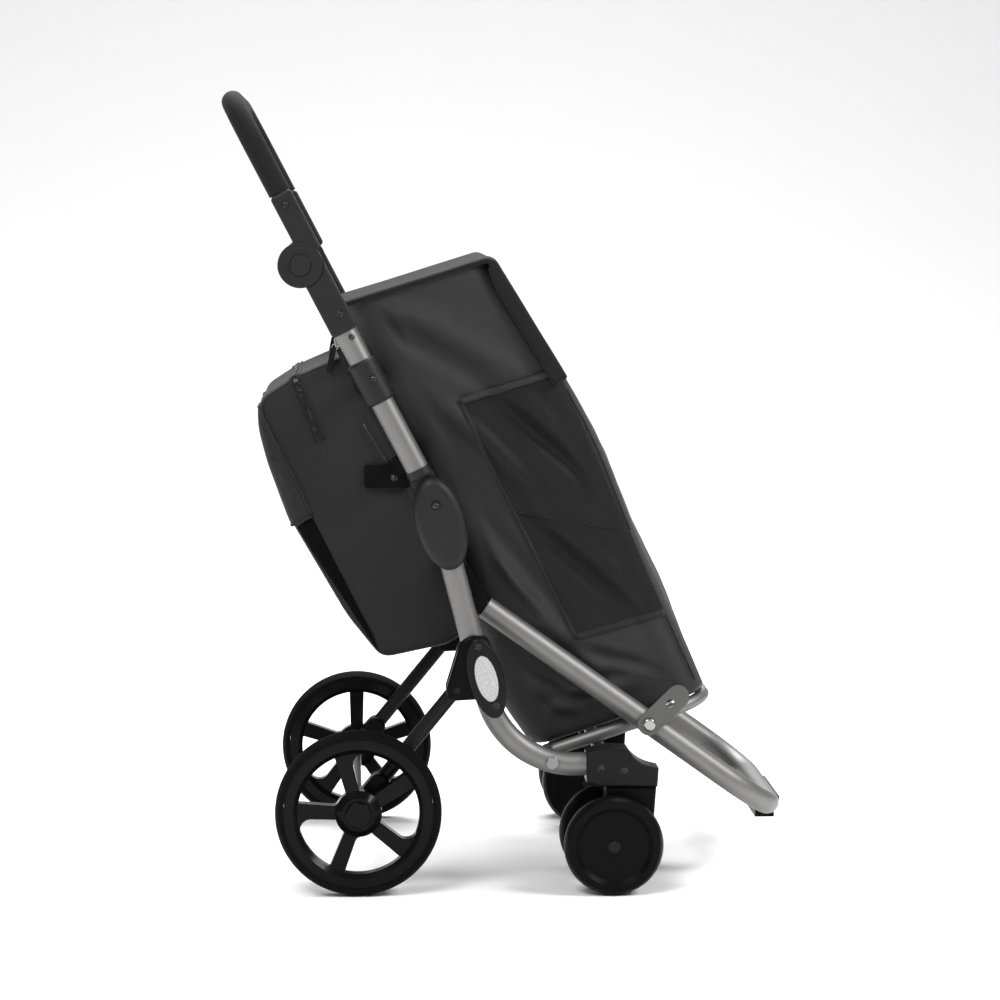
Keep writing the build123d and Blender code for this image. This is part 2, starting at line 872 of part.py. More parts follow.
# Caster fork with its king pin
with BuildPart() as caster_fork:
    with BuildSketch(side_plane(tube_width)):
        with BuildLine():
            Polyline(
                (caster_x - boss_r / 2, fork_top),
                (fork_front, fork_top),
                (skirt_front, skirt_foot),
                caster_centre,
                close=True,
            )
        make_face()
        with Locations(caster_centre):
            Circle(boss_r)
        make_hull()
    extrude(amount=fork_thickness / 2, both=True)
    fillet(caster_fork.faces().filter_by(Axis.Y).edges(), fork_edge)
    extrude(
        disc_face(Plane(spot((swivel_x, fork_top), tube_width)), king_pin_d),
        amount=king_pin_length,
    )
    extrude(
        round_face(caster_centre, caster_axle_d + 2 * seat_gap, tube_width - fork_thickness),
        amount=2 * fork_thickness,
        mode=Mode.SUBTRACT,
    )
keep_pair(caster_fork, "caster_fork")

# Axle of the twin caster wheels, with a head at each end
dish_face = caster_spread + caster_breadth / 2 - caster_dish
with BuildPart() as caster_axle:
    extrude(round_face(caster_centre, caster_axle_d, tube_width), amount=dish_face + seat_gap, both=True)
    for end in (tube_width + dish_face + seat_gap, tube_width - dish_face - seat_gap - caster_head):
        extrude(round_face(caster_centre, caster_head_d, end), amount=caster_head)
keep_pair(caster_axle, "caster_axle")

# Caster wheel: dished disc with a rounded tread and a hub that reaches the fork
outer_width = tube_width + caster_spread
hub_reach = caster_spread - fork_thickness / 2 - turn_gap
with BuildPart() as caster_wheel:
    with BuildSketch(wheel_plane(caster_centre, outer_width)):
        half = caster_breadth / 2
        web = half - caster_dish
        tread_foot = caster_r - caster_tread
        shoulder_r = caster_r - caster_dish
        with BuildLine():
            Polyline(
                (-half, shoulder_r),
                (-half, tread_foot),
                (-web, tread_foot - caster_dish),
                (-web, caster_hub_r),
                (-hub_reach, caster_hub_r),
                (-hub_reach, caster_axle_d / 2 + turn_gap),
                (web, caster_axle_d / 2 + turn_gap),
                (web, tread_foot - caster_dish),
                (half, tread_foot),
                (half, shoulder_r),
            )
            ThreePointArc((half, shoulder_r), (0, caster_r), (-half, shoulder_r))
        make_face()
    revolve(axis=Axis(spot(caster_centre, outer_width), (0, -1, 0)))
with BuildPart() as inner_wheel:
    mirror(caster_wheel.part, about=side_plane(tube_width))
keep_pair(caster_wheel, "caster_wheel_outer")
keep_pair(inner_wheel, "caster_wheel_inner")

# Base loop that carries the main bag, with an eye at each end
with BuildPart() as base_loop:
    with BuildLine(loop_plane(base_pivot, base_angle)) as base_path:
        u_path(base_reach, base_width, eye_r, base_bend)
    base_start = base(eye_r)
    sweep(
        ring_face(cross_plane(base_start, base_angle, base_width), base_d, base_d - 2 * base_wall),
        path=base_path.line,
    )
    for width in (base_width, -base_width):
        extrude(
            disc_face(cross_plane(base_pivot, base_angle, width), eye_thickness + base_wall),
            amount=plug_length,
        )
        extrude(round_face(base_pivot, 2 * eye_r, width), amount=eye_thickness / 2, both=True)
        for point, bore in ((base_pivot, rivet_d + 2 * turn_gap), (link_pivot, bolt_d + 2 * seat_gap)):
            extrude(round_face(point, bore, width), amount=base_d, both=True, mode=Mode.SUBTRACT)
keep(base_loop, "base_loop")

# Foot loop, pushed on the spigots of its two knuckles
with BuildPart() as foot_loop:
    with BuildLine(loop_plane(loop_top, loop_angle)) as loop_path:
        u_path(loop_reach, loop_width, 0, loop_bend)
    sweep(
        ring_face(cross_plane(loop_top, loop_angle, loop_width), tube_d, tube_d - 2 * tube_wall),
        path=loop_path.line,
    )
    for width in (loop_width, -loop_width):
        extrude(
            round_face(link_pivot, bolt_d + 2 * turn_gap, width),
            amount=tube_d,
            both=True,
            mode=Mode.SUBTRACT,
        )
keep(foot_loop, "foot_loop")

with BuildPart() as loop_knuckle:
    neck = loop(-knuckle_r - seat_gap)
    knuckle_inner = loop_width - knuckle_thickness / 2
    extrude(
        hull_face(knuckle_inner, (*neck, knuckle_r), (*lever_tip, lever_breadth / 2)),
        amount=knuckle_thickness,
    )
    extrude(disc_face(cross_plane(neck, loop_angle, loop_width), knuckle_thickness), amount=knuckle_r)
    extrude(
        disc_face(
            cross_plane(neck, loop_angle, loop_width),
            tube_d - 2 * tube_wall - 2 * seat_gap,
        ),
        amount=knuckle_r + spigot_length,
    )
keep_pair(loop_knuckle, "loop_knuckle")

# Foot pad under the front bar of the foot loop
with BuildPart() as foot_pad:
    with BuildSketch(side_plane(-pad_half)):
        with Locations(loop_bar):
            Circle(pad_r)
        with Locations((loop_bar[0], loop_bar[1] - pad_drop / 2)):
            Rectangle(pad_breadth, pad_drop)
        with Locations(loop_bar):
            Circle(tube_d / 2 + seat_gap, mode=Mode.SUBTRACT)
        with Locations((loop_bar[0], loop_bar[1] + pad_r / 2 + tube_wall)):
            Rectangle(3 * pad_r, pad_r, mode=Mode.SUBTRACT)
    extrude(amount=2 * pad_half)
keep(foot_pad, "foot_pad")

# Strap plate on the outside of the foot loop
strap_inner = loop_width + tube_d / 2 + turn_gap
strap_hole = ray(link_pivot, strap_angle, strap_hole_along)
with BuildPart() as strap_plate:
    with BuildSketch(ray_plane(link_pivot, strap_angle, strap_inner)):
        with Locations((strap_reach / 2, 0)):
            SlotCenterToCenter(strap_reach, strap_breadth)
    extrude(amount=strap_thickness)
    for point, bore in ((link_pivot, bolt_d + 2 * seat_gap), (strap_hole, strap_hole_d)):
        extrude(round_face(point, bore, strap_inner), amount=strap_thickness, mode=Mode.SUBTRACT)
keep_pair(strap_plate, "strap_plate")

# Bolts that join base loop, foot loop and strap plates
with BuildPart() as loop_bolt:
    bolt_end = base_width - base_d / 2 - bolt_head
    strap_outer = strap_inner + strap_thickness + seat_gap
    extrude(round_face(link_pivot, bolt_d, bolt_end), amount=strap_outer - bolt_end)
    extrude(round_face(link_pivot, bolt_head_d, strap_outer), amount=bolt_head)
    fillet(loop_bolt.faces().sort_by(Axis.Y)[0].edges(), bolt_head / 2)
    extrude(round_face(link_pivot, bolt_head_d, bolt_end - seat_gap), amount=bolt_head)
keep_both(loop_bolt, "loop_bolts")

# Rivets of the base loop and pins of the rear legs
with BuildPart() as base_rivet:
    rivet_outer = tube_width + tube_d / 2 + seat_gap
    rivet_inner = base_width - base_d / 2 - turn_gap - rivet_head
    spacer_inner = base_width + base_d / 2 + turn_gap
    spacer_outer = tube_width - tube_d / 2 - seat_gap
    extrude(round_face(base_pivot, rivet_d, rivet_inner), amount=rivet_outer - rivet_inner)
    extrude(round_face(base_pivot, rivet_head_d, rivet_outer), amount=rivet_head)
    fillet(base_rivet.faces().sort_by(Axis.Y)[0].edges(), rivet_head / 2)
    extrude(round_face(base_pivot, rivet_head_d, rivet_inner), amount=rivet_head)
    extrude(round_face(base_pivot, spacer_d, spacer_inner), amount=spacer_outer - spacer_inner)
with BuildPart() as leg_pin:
    extrude(round_face(leg_pivot, leg_pin_d, housing_inner), amount=housing_thickness)
with BuildPart() as chassis_fasteners:
    for fastener in (base_rivet, leg_pin):
        add(fastener.part)
        mirror(fastener.part, about=Plane.XZ)
keep(chassis_fasteners, "chassis_fasteners")


def bag_face(rear, front, half, inset, lift=0.0):
    """A level of the main bag: a rounded rectangle across the trolley between two side view points."""
    angle = heading(rear, front)
    middle = ((rear[0] + front[0]) / 2, (rear[1] + front[1]) / 2)
    length = hypot(front[0] - rear[0], front[1] - rear[1])
    with BuildSketch(loop_plane(ray(middle, angle, 0, lift), angle)) as profile:
        RectangleRounded(length - 2 * inset, 2 * (half - inset), bag_corner - inset)
    return profile.sketch


# Main bag: an open shell in two parts that meet at the height of the fold
floor_up = base_d / 2 + bag_gap
floor_ends = (base(bag_floor_rear, floor_up), base(bag_floor_front, floor_up))
waist_ends = (
    ray(fold_pivot, bag_waist_tilt, bag_waist_rear),
    ray(fold_pivot, bag_waist_tilt, bag_waist_front),
)
with BuildPart() as main_bag_lower:
    for inset, mode in ((0.0, Mode.ADD), (bag_wall, Mode.SUBTRACT)):
        levels = [
            bag_face(*floor_ends, bag_floor_half, inset, lift=inset),
            bag_face(bag_belly_rear, bag_belly_front, bag_belly_half, inset),
            bag_face(*waist_ends, bag_waist_half, inset, lift=-bag_gap / 2),
        ]
        loft(levels, ruled=True, mode=mode)
keep(main_bag_lower, "main_bag_lower")

with BuildPart() as main_bag_upper:
    for inset, mode in ((0.0, Mode.ADD), (bag_wall, Mode.SUBTRACT)):
        levels = [
            bag_face(*waist_ends, bag_waist_half, inset, lift=bag_gap / 2),
            bag_face(bag_chest_rear, bag_chest_front, bag_chest_half, inset),
            bag_face(bag_top_rear, bag_top_front, bag_top_half, inset),
        ]
        loft(levels, ruled=True, mode=mode)
keep(main_bag_upper, "main_bag_upper")

# Lid of the main bag: top panel, front flap and a round bead along its hinge
top_angle = heading(bag_top_rear, bag_top_front)
flap_angle = heading(bag_top_front, bag_chest_front)
flap_length = flap_share * hypot(bag_chest_front[0] - bag_top_front[0], bag_chest_front[1] - bag_top_front[1])
lid_hinge = ray(bag_top_rear, top_angle, -lid_bead_r - lid_gap, lid_gap + lid_thickness / 2)


def lid_corner(height):
    """Where the offsets of top panel and flap at a height above the bag meet."""
    half_turn = radians((flap_angle - top_angle) / 2)
    return ray(bag_top_front, top_angle, -height * tan(half_turn), height)


lid_top = lid_gap + lid_thickness
with BuildPart() as bag_lid:
    with BuildSketch(side_plane(-bag_top_half)):
        with BuildLine():
            Polyline(
                ray(bag_top_rear, top_angle, -lid_bead_r, lid_gap),
                lid_corner(lid_gap),
                ray(bag_top_front, flap_angle, flap_length, lid_gap),
                ray(bag_top_front, flap_angle, flap_length, lid_top),
                lid_corner(lid_top),
                ray(bag_top_rear, top_angle, -lid_bead_r, lid_top),
                close=True,
            )
        make_face()
        with Locations(lid_hinge):
            Circle(lid_bead_r)
    extrude(amount=2 * bag_top_half)
keep(bag_lid, "bag_lid")


def pouch_face(width, inset=0.0):
    """The side outline of the rear bag, along the mast and behind it."""
    with BuildSketch(ray_plane(fold_pivot, mast_angle, width)) as profile:
        with BuildLine():
            Polyline(*pouch_front, *pouch_top, *pouch_rear, close=True)
        make_face()
        fillet(profile.vertices(), pouch_round)
        if inset:
            offset(amount=-inset, mode=Mode.REPLACE)
    return profile.sketch


# Rear bag, padded and zipped shut, hung on the brackets behind the upper tubes
with BuildPart() as rear_bag:
    extrude(pouch_face(-pouch_half), amount=2 * pouch_half)
    fillet(rear_bag.faces().filter_by(Axis.Y).edges(), pouch_edge)
    pouch_room = pouch_half - pouch_edge
    extrude(pouch_face(-pouch_room, pouch_wall), amount=2 * pouch_room, mode=Mode.SUBTRACT)
keep(rear_bag, "rear_bag")

os.makedirs("parts", exist_ok=True)
for name, piece in nodes.items():
    export_step(piece, f"parts/{name}.step")
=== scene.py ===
"""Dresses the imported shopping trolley: cloth bags, trim, zips, fasteners, finishes, light and camera."""

import json
from functools import cache
from math import cos, exp, pi, radians, sin, tan

import bmesh
import bpy
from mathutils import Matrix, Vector, noise
from mathutils.bvhtree import BVHTree


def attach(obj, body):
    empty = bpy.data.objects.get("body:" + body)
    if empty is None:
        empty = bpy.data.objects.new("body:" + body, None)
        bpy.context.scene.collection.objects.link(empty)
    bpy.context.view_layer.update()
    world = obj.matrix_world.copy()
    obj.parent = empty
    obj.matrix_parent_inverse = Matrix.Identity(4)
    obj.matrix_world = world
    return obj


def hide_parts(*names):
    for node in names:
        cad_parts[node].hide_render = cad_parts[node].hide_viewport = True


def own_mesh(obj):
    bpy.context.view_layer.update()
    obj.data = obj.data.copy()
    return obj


bl_info = {
    "name": "Shopping trolley dresser",
    "version": (1, 0, 0),
    "blender": (4, 5, 0),
    "location": "View3D > Sidebar > Trolley",
    "description": "Dresses the packed trolley frame with bags, trim, fasteners and finishes",
    "category": "Object",
}

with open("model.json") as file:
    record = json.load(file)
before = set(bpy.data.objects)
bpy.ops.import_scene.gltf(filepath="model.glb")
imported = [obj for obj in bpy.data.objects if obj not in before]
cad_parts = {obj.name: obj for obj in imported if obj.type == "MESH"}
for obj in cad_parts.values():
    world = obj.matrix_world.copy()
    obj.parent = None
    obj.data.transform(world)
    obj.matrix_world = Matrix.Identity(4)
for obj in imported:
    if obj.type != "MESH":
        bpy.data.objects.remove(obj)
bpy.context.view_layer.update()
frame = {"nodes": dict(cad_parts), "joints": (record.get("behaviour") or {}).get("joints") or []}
JOINTS = {joint["name"]: joint for joint in frame["joints"]}
NODES = frame["nodes"]
MM = 0.001
SIDES = (("right", 1.0), ("left", -1.0))
CLOTH_UV = "cloth"

# Side view points are (x, z) in millimetres: x forward from the rear axle, z up from the floor.
# A width is the distance in millimetres to the right of the middle plane.
AXLE_X = JOINTS["rear_wheel_right_spin"]["pos_m"][0]
FOLD_X, _, FOLD_Z = JOINTS["frame_fold"]["pos_m"]
FOLD = Vector(((FOLD_X - AXLE_X) / MM, FOLD_Z / MM))
MAST = Vector((cos(radians(117.5)), sin(radians(117.5))))
MAST_BACK = Vector((-MAST.y, MAST.x))


def place(point, width=0.0):
    """A side view point at a width, in the frame's metres."""
    return Vector((AXLE_X + point[0] * MM, -width * MM, point[1] * MM))


def mast(along, back=0.0):
    """The side view point at a distance along the upper tubes from the fold, and behind them."""
    return FOLD + MAST * along + MAST_BACK * back


def on_mast(along, back, width):
    """A point by its distances along and behind the upper tubes, at a width."""
    return place(mast(along, back), width)


# Node trees


class Wire:
    """A node socket that takes part in sums and products."""

    def __init__(self, graph, socket):
        self.graph = graph
        self.socket = socket

    def math(self, operation, *others):
        return self.graph.node("ShaderNodeMath", dict(enumerate((self, *others))), operation=operation)

    def __add__(self, other):
        return self.math("ADD", other)

    __radd__ = __add__

    def __mul__(self, other):
        return self.math("MULTIPLY", other)

    __rmul__ = __mul__

    def __sub__(self, other):
        return self.math("SUBTRACT", other)

    def __rsub__(self, other):
        return self.graph.node("ShaderNodeMath", {0: other, 1: self}, operation="SUBTRACT")

    def __truediv__(self, other):
        return self.math("DIVIDE", other)

    def sine(self):
        return self.math("SINE")

    def size(self):
        return self.math("ABSOLUTE")

    def over(self, limit):
        return self.math("GREATER_THAN", limit)

    def least(self, other):
        return self.math("MINIMUM", other)

    def step(self, low, high):
        """0 below low, 1 above high and a smooth rise between."""
        ends = {0: self, 1: low, 2: high}
        return self.graph.node("ShaderNodeMapRange", ends, interpolation_type="SMOOTHSTEP")


class Graph:
    """A node tree that is built node by node."""

    def __init__(self, group):
        self.group = group

    def feed(self, made, sockets):
        """Links or sets a node's sockets; a list of wires goes into one socket."""
        for key, values in sockets.items():
            for value in values if isinstance(values, list) else [values]:
                if isinstance(value, Wire):
                    self.group.links.new(value.socket, made.inputs[key])
                else:
                    made.inputs[key].default_value = value

    def node(self, kind, sockets=None, output=0, **settings):
        """Adds a node, with its settings set before its sockets, and gives one of its outputs."""
        made = self.group.nodes.new(kind)
        for key, value in settings.items():
            setattr(made, key, value)
        self.feed(made, sockets or {})
        return Wire(self, made.outputs[output])


# Finishes


class Paint(Graph):
    """A material round one principled shader."""

    def __init__(self, name):
        self.material = bpy.data.materials.new(name)
        self.material.use_nodes = True
        super().__init__(self.material.node_tree)
        self.group.nodes.clear()
        self.shader = self.group.nodes.new("ShaderNodeBsdfPrincipled")
        output = self.group.nodes.new("ShaderNodeOutputMaterial")
        self.group.links.new(self.shader.outputs[0], output.inputs[0])
        self.where = self.node("ShaderNodeTexCoord", output="Object")

    def cloth_uv(self):
        """The two coordinates on the flat cloth, in metres."""
        uv = self.node("ShaderNodeUVMap", uv_map=CLOTH_UV)
        return [self.node("ShaderNodeSeparateXYZ", {0: uv}, k) for k in (0, 1)]

    def grain(self, scale, detail=2.0, roughness=0.6, stretch=None):
        """Noise over the piece, whose axes are scaled first where a stretch is given."""
        where = self.where
        if stretch:
            where = self.node("ShaderNodeMapping", {"Vector": where, "Scale": stretch})
        sockets = {"Vector": where, "Scale": scale, "Detail": detail, "Roughness": roughness}
        return self.node("ShaderNodeTexNoise", sockets)

    def cells(self, scale):
        """Distance to the middle of the nearest cell."""
        return self.node("ShaderNodeTexVoronoi", {"Vector": self.where, "Scale": scale})

    def tint(self, mask, dark, light):
        """A colour between two colours, or colour wires, by a mask."""
        return self.node("ShaderNodeMix", {0: mask, 6: dark, 7: light}, 2, data_type="RGBA")

    def finish(self, tint, roughness, relief=None, **others):
        """The material by a tint, a roughness, a relief (height, strength, distance) and other sockets."""
        sockets = {key.replace("_", " "): value for key, value in others.items()}
        sockets |= {"Base Color": self.tint(*tint), "Roughness": roughness}
        if relief:
            bump = dict(zip(("Height", "Strength", "Distance"), relief))
            sockets["Normal"] = self.node("ShaderNodeBump", bump)
        self.feed(self.shader, sockets)
        return self.material


def grey(level, warm=0.0):
    """A grey, slightly warm or cool."""
    return (level * (1 + warm), level, level * (1 - warm), 1.0)


def cloth_paint(name, level, pitch=0.0009, soft=0.05, shine=0.34, rough=0.36):
    """Black plain-woven cloth with broad rubbed patches and a soft sheen."""
    paint = Paint(name)
    warp, weft = ((way * (pi / pitch)).sine() for way in paint.cloth_uv())
    over = (warp * weft).over(0.0)
    threads = over * warp.size() + (1 - over) * weft.size()
    broad, fine = paint.grain(9.0, 4.0), paint.grain(420.0, 2.0, 0.7)
    return paint.finish(
        (threads * 0.45 + broad * 0.35 + fine * 0.35, grey(level * 0.5), grey(level * 1.7)),
        rough + 0.16 * fine + 0.08 * threads,
        (threads * 0.7 + fine * 0.4, 0.55, 0.0004),
        Sheen_Weight=soft,
        Sheen_Roughness=0.45,
        Sheen_Tint=(0.75, 0.76, 0.8, 1.0),
        Specular_IOR_Level=shine,
    )


def net_paint(name, eye):
    """Fine pocket net: hexagonal eyes between thin threads."""
    paint = Paint(name)
    u, v = paint.cloth_uv()
    ways = (u, u * 0.5 + v * 0.866, u * 0.5 - v * 0.866)
    a, b, c = ((way * (pi / eye)).sine().size() for way in ways)
    thread = 1 - a.least(b).least(c).step(0.18, 0.42)
    fuzz = paint.grain(300.0)
    return paint.finish(
        (thread * 0.8 + fuzz * 0.2, grey(0.001), grey(0.013)),
        0.36 + 0.2 * fuzz,
        (thread, 0.6, 0.0005),
        Sheen_Weight=0.03,
        Sheen_Roughness=0.4,
        Specular_IOR_Level=0.15,
    )


def tape_paint(name, level, rib=0.0011):
    """Ribbed binding tape and webbing, ribs along its length."""
    paint = Paint(name)
    ribs = (paint.cloth_uv()[1] * (pi / rib)).sine().size()
    fuzz = paint.grain(350.0)
    return paint.finish(
        (ribs * 0.6 + fuzz * 0.4, grey(level * 0.5), grey(level * 1.5)),
        0.6 + 0.2 * fuzz,
        (ribs + fuzz * 0.3, 0.5, 0.0004),
        Sheen_Weight=0.12,
        Sheen_Roughness=0.4,
        Specular_IOR_Level=0.25,
    )


def tube_paint(name, level):
    """Satin grey metal: fine drawn grain, faint cloudiness and small scuffs."""
    paint = Paint(name)
    cloud, fine = paint.grain(14.0, 3.0, 0.55), paint.grain(900.0)
    scuff = paint.grain(3.0, 4.0, 0.7, (30.0, 160.0, 30.0)).step(0.63, 0.74)
    metal = paint.tint(cloud * 0.6 + fine * 0.4, grey(0.165 * level, 0.012), grey(0.235 * level, 0.012))
    return paint.finish(
        (scuff * 0.35, metal, grey(0.3 * level)),
        0.47 + 0.08 * fine - 0.06 * scuff,
        (fine, 0.12, 0.0002),
        Metallic=0.86,
    )


def moulded_paint(name, level, rough, pitting=0.35, shine=0.24):
    """Black moulded plastic with spark-eroded grain and slight handling gloss."""
    paint = Paint(name)
    pits, cloud, fine = paint.cells(1100.0), paint.grain(18.0, 3.0, 0.55), paint.grain(700.0)
    return paint.finish(
        (cloud * 0.6 + fine * 0.4, grey(level * 0.7), grey(level * 1.35)),
        rough - 0.1 * cloud + 0.12 * fine,
        (pits + fine * 0.5, pitting, 0.0003),
        Specular_IOR_Level=shine,
    )


def gloss_paint(name):
    """Glossy black rim plastic with faint flow marks and dust-fine scratches."""
    paint = Paint(name)
    cloud = paint.grain(22.0, 3.0, 0.5)
    hair = paint.grain(4.0, 3.0, 0.7, (60.0, 9.0, 240.0)).step(0.62, 0.72)
    return paint.finish(
        (cloud, grey(0.002), grey(0.005)),
        0.14 + 0.1 * cloud + 0.1 * hair,
        (cloud, 0.05, 0.001),
        Specular_IOR_Level=0.05,
        Coat_Weight=0.06,
        Coat_Roughness=0.08,
    )


def rubber_paint(name, level):
    """Matte rubber with a dusty bloom."""
    paint = Paint(name)
    bloom, fine = paint.grain(26.0, 4.0), paint.grain(1000.0)
    return paint.finish(
        (bloom * 0.7 + fine * 0.3, grey(level * 0.6), grey(level * 1.5)),
        0.62 + 0.2 * fine + 0.06 * bloom,
        (fine, 0.3, 0.0003),
        Specular_IOR_Level=0.05,
    )


def foam_paint(name):
    """Closed-cell foam grip: small open pores in a dull skin."""
    paint = Paint(name)
    pores, cloud = paint.cells(620.0).step(0.1, 0.5), paint.grain(30.0, 3.0)
    return paint.finish(
        (pores * 0.6 + cloud * 0.4, grey(0.003), grey(0.009)),
        0.66 + 0.18 * pores,
        (pores, 0.45, 0.0005),
        Specular_IOR_Level=0.16,
        Sheen_Weight=0.03,
    )


TURNING = (900.0, 120.0, 900.0)
PIN_SPLIT = 0.2


def steel_paint(name):
    """Bright plated steel with fine turning marks and a few dull spots."""
    paint = Paint(name)
    turned, dull = paint.grain(1.0, stretch=TURNING), paint.grain(120.0, 3.0).step(0.58, 0.75)
    return paint.finish(
        (dull, grey(0.34, 0.01), grey(0.22, 0.02)),
        0.2 + 0.14 * turned + 0.2 * dull,
        (turned, 0.1, 0.0002),
        Metallic=1.0,
    )


def dark_steel_paint(name):
    """Blackened screw steel with brighter spots: rubbed wear, raised as painted glints."""
    paint = Paint(name)
    # Brighter spots: rubbed wear, made bright enough to stand in for painted glints on the screw heads
    rub_and_glint, fine = paint.grain(260.0, 3.0).step(0.5, 0.72), paint.grain(1400.0)
    return paint.finish(
        (rub_and_glint * 0.7 + fine * 0.3, grey(0.012), grey(0.14)),
        0.3 + 0.15 * fine,
        (fine, 0.1, 0.0002),
        Metallic=0.9,
    )


def rivet_paint(name):
    """Plated rivets below and blackened leg pins above, parted by their height."""
    paint = Paint(name)
    turned = paint.grain(1.0, stretch=TURNING)
    is_pin = paint.node("ShaderNodeSeparateXYZ", {0: paint.where}, 2).over(PIN_SPLIT)
    return paint.finish(
        (is_pin, paint.tint(turned, grey(0.17), grey(0.3)), grey(0.012)),
        0.3 + 0.16 * turned + 0.04 * is_pin,
        (turned, 0.1, 0.0002),
        Metallic=1.0 - 0.15 * is_pin,
    )


def lens_paint(name):
    """White reflector lens with small round pebbles."""
    paint = Paint(name)
    crown, sparkle = 1 - paint.cells(640.0).step(0.05, 0.6), paint.grain(240.0)
    return paint.finish(
        (crown * 0.75 + sparkle * 0.25, grey(0.3), grey(0.62)),
        0.16 + 0.1 * sparkle,
        (crown, 0.7, 0.001),
        Coat_Weight=0.4,
        Coat_Roughness=0.05,
    )


def powder_paint(name):
    """Satin black powder coat with a fine orange peel."""
    paint = Paint(name)
    peel, cloud = paint.cells(480.0), paint.grain(20.0, 3.0)
    return paint.finish(
        (cloud, grey(0.003), grey(0.007)),
        0.34 + 0.12 * cloud,
        (peel, 0.12, 0.0004),
        Specular_IOR_Level=0.16,
    )


# Each finish as its maker, the material's name and the maker's values
FINISHES = {
    "tube": (tube_paint, "satin_tube", 0.94),
    "plate": (tube_paint, "grey_plate", 0.55),
    "plastic": (moulded_paint, "moulded_black", 0.009, 0.48),
    "satin_plastic": (moulded_paint, "moulded_satin", 0.005, 0.36, 0.2, 0.14),
    "caster": (moulded_paint, "caster_black", 0.0028, 0.36, 0.12, 0.06),
    "gloss": (gloss_paint, "gloss_rim"),
    "tyre": (rubber_paint, "tyre_rubber", 0.0032),
    "foam": (foam_paint, "grip_foam"),
    "steel": (steel_paint, "plated_steel"),
    "dark_steel": (dark_steel_paint, "blackened_steel"),
    "rivet": (rivet_paint, "rivets_and_pins"),
    "lens": (lens_paint, "pebbled_lens"),
    "powder": (powder_paint, "powder_black"),
    "cloth": (cloth_paint, "bag_cloth", 0.006),
    "pouch": (cloth_paint, "pouch_cloth", 0.0075, 0.0013, 0.06, 0.22, 0.46),
    # The lid's cloth is the bag cloth made darker, with less sheen and shine: painted shade for the lid's dark
    # top and flap
    "lid": (cloth_paint, "lid_cloth", 0.0052, 0.0009, 0.02, 0.14, 0.56),
    # Painted shade: near-black cloth without sheen, for the patches where the rear bag's lower rear turns away
    # from the light
    "painted_shade": (cloth_paint, "gusset_cloth", 0.0012, 0.0009, 0.0, 0.06, 0.6),
    "net": (net_paint, "pocket_net", 0.0032),
    "tape": (tape_paint, "binding_tape", 0.009),
    "pale_tape": (tape_paint, "pocket_band", 0.017),
    "zip": (tape_paint, "zip_tape", 0.006),
    "thread": (rubber_paint, "sewing_thread", 0.02),
}


@cache
def paint_for(key):
    """The finish of that name, made once."""
    maker, *values = FINISHES[key]
    return maker(*values)


# Lines and meshes


def running(points):
    """Distances along a line of points from its first."""
    run = [0.0]
    for a, b in zip(points, points[1:]):
        run.append(run[-1] + (b - a).length)
    return run


def headings(points):
    """The direction of a line of points at each of them."""
    last = len(points) - 1
    return [(points[min(i + 1, last)] - points[max(i - 1, 0)]).normalized() for i in range(last + 1)]


def stations(stops, step):
    """Points about a step apart along a line of stops, up to the last."""
    stops = [Vector(stop) for stop in stops]
    made = []
    for a, b in zip(stops, stops[1:]):
        count = max(1, round((b - a).length / step))
        made += [a.lerp(b, i / count) for i in range(count)]
    return made + [stops[-1]]


def spaced(points, count):
    """A number of evenly spaced points along a line of points."""
    ends = running(points)
    made, k = [], 0
    for i in range(count):
        goal = ends[-1] * i / (count - 1)
        while k < len(points) - 2 and ends[k + 1] < goal:
            k += 1
        made.append(points[k].lerp(points[k + 1], (goal - ends[k]) / (ends[k + 1] - ends[k])))
    return made


def through(stops, t):
    """A smooth value at t through (t, value) stops, without much overshoot."""
    last = len(stops) - 2
    i = max(k for k in range(last + 1) if t >= stops[k][0] or k == 0)
    (t0, a), (t1, b) = stops[i], stops[i + 1]
    before, after = stops[max(i - 1, 0)], stops[min(i + 2, last + 1)]
    slope_a = (b - before[1]) / (t1 - before[0])
    slope_b = (after[1] - a) / (after[0] - t0)
    span = t1 - t0
    s = (t - t0) / span
    h00 = (1 + 2 * s) * (1 - s) ** 2
    h10 = s * (1 - s) ** 2
    h01 = s * s * (3 - 2 * s)
    h11 = s * s * (s - 1)
    return a * h00 + slope_a * (span * h10) + b * h01 + slope_b * (span * h11)


def mirrored(points):
    """Points on the other side of the middle plane, in reverse."""
    return [Vector((p.x, -p.y, p.z)) for p in reversed(points)]


def flat(rows):
    """The items of all rows as one list."""
    return [item for row in rows for item in row]


def squares(rows, count, closed=True):
    """The (row, column) corners of the squares between rows of points, which may close into rings."""
    for i in range(rows - 1):
        for j in range(count if closed else count - 1):
            yield [(i, j), (i, j + 1), (i + 1, j + 1), (i + 1, j)]


def link(name, data):
    """A new object in the scene."""
    made = bpy.data.objects.new(name, data)
    bpy.context.scene.collection.objects.link(made)
    return made


def new_piece(mesh, paint=None):
    """Links a finished mesh as a piece of its name, with its finish."""
    piece = link(mesh.name, mesh)
    if paint:
        mesh.materials.clear()
        mesh.materials.append(paint_for(paint))
    return piece


def applied(seed):
    """The mesh of an object with its modifiers applied, under its own mesh's name; the object goes."""
    graph = bpy.context.evaluated_depsgraph_get()
    mesh = bpy.data.meshes.new_from_object(seed.evaluated_get(graph), depsgraph=graph)
    plain, name = seed.data, seed.data.name
    bpy.data.objects.remove(seed)
    bpy.data.meshes.remove(plain)
    mesh.name = name
    return mesh


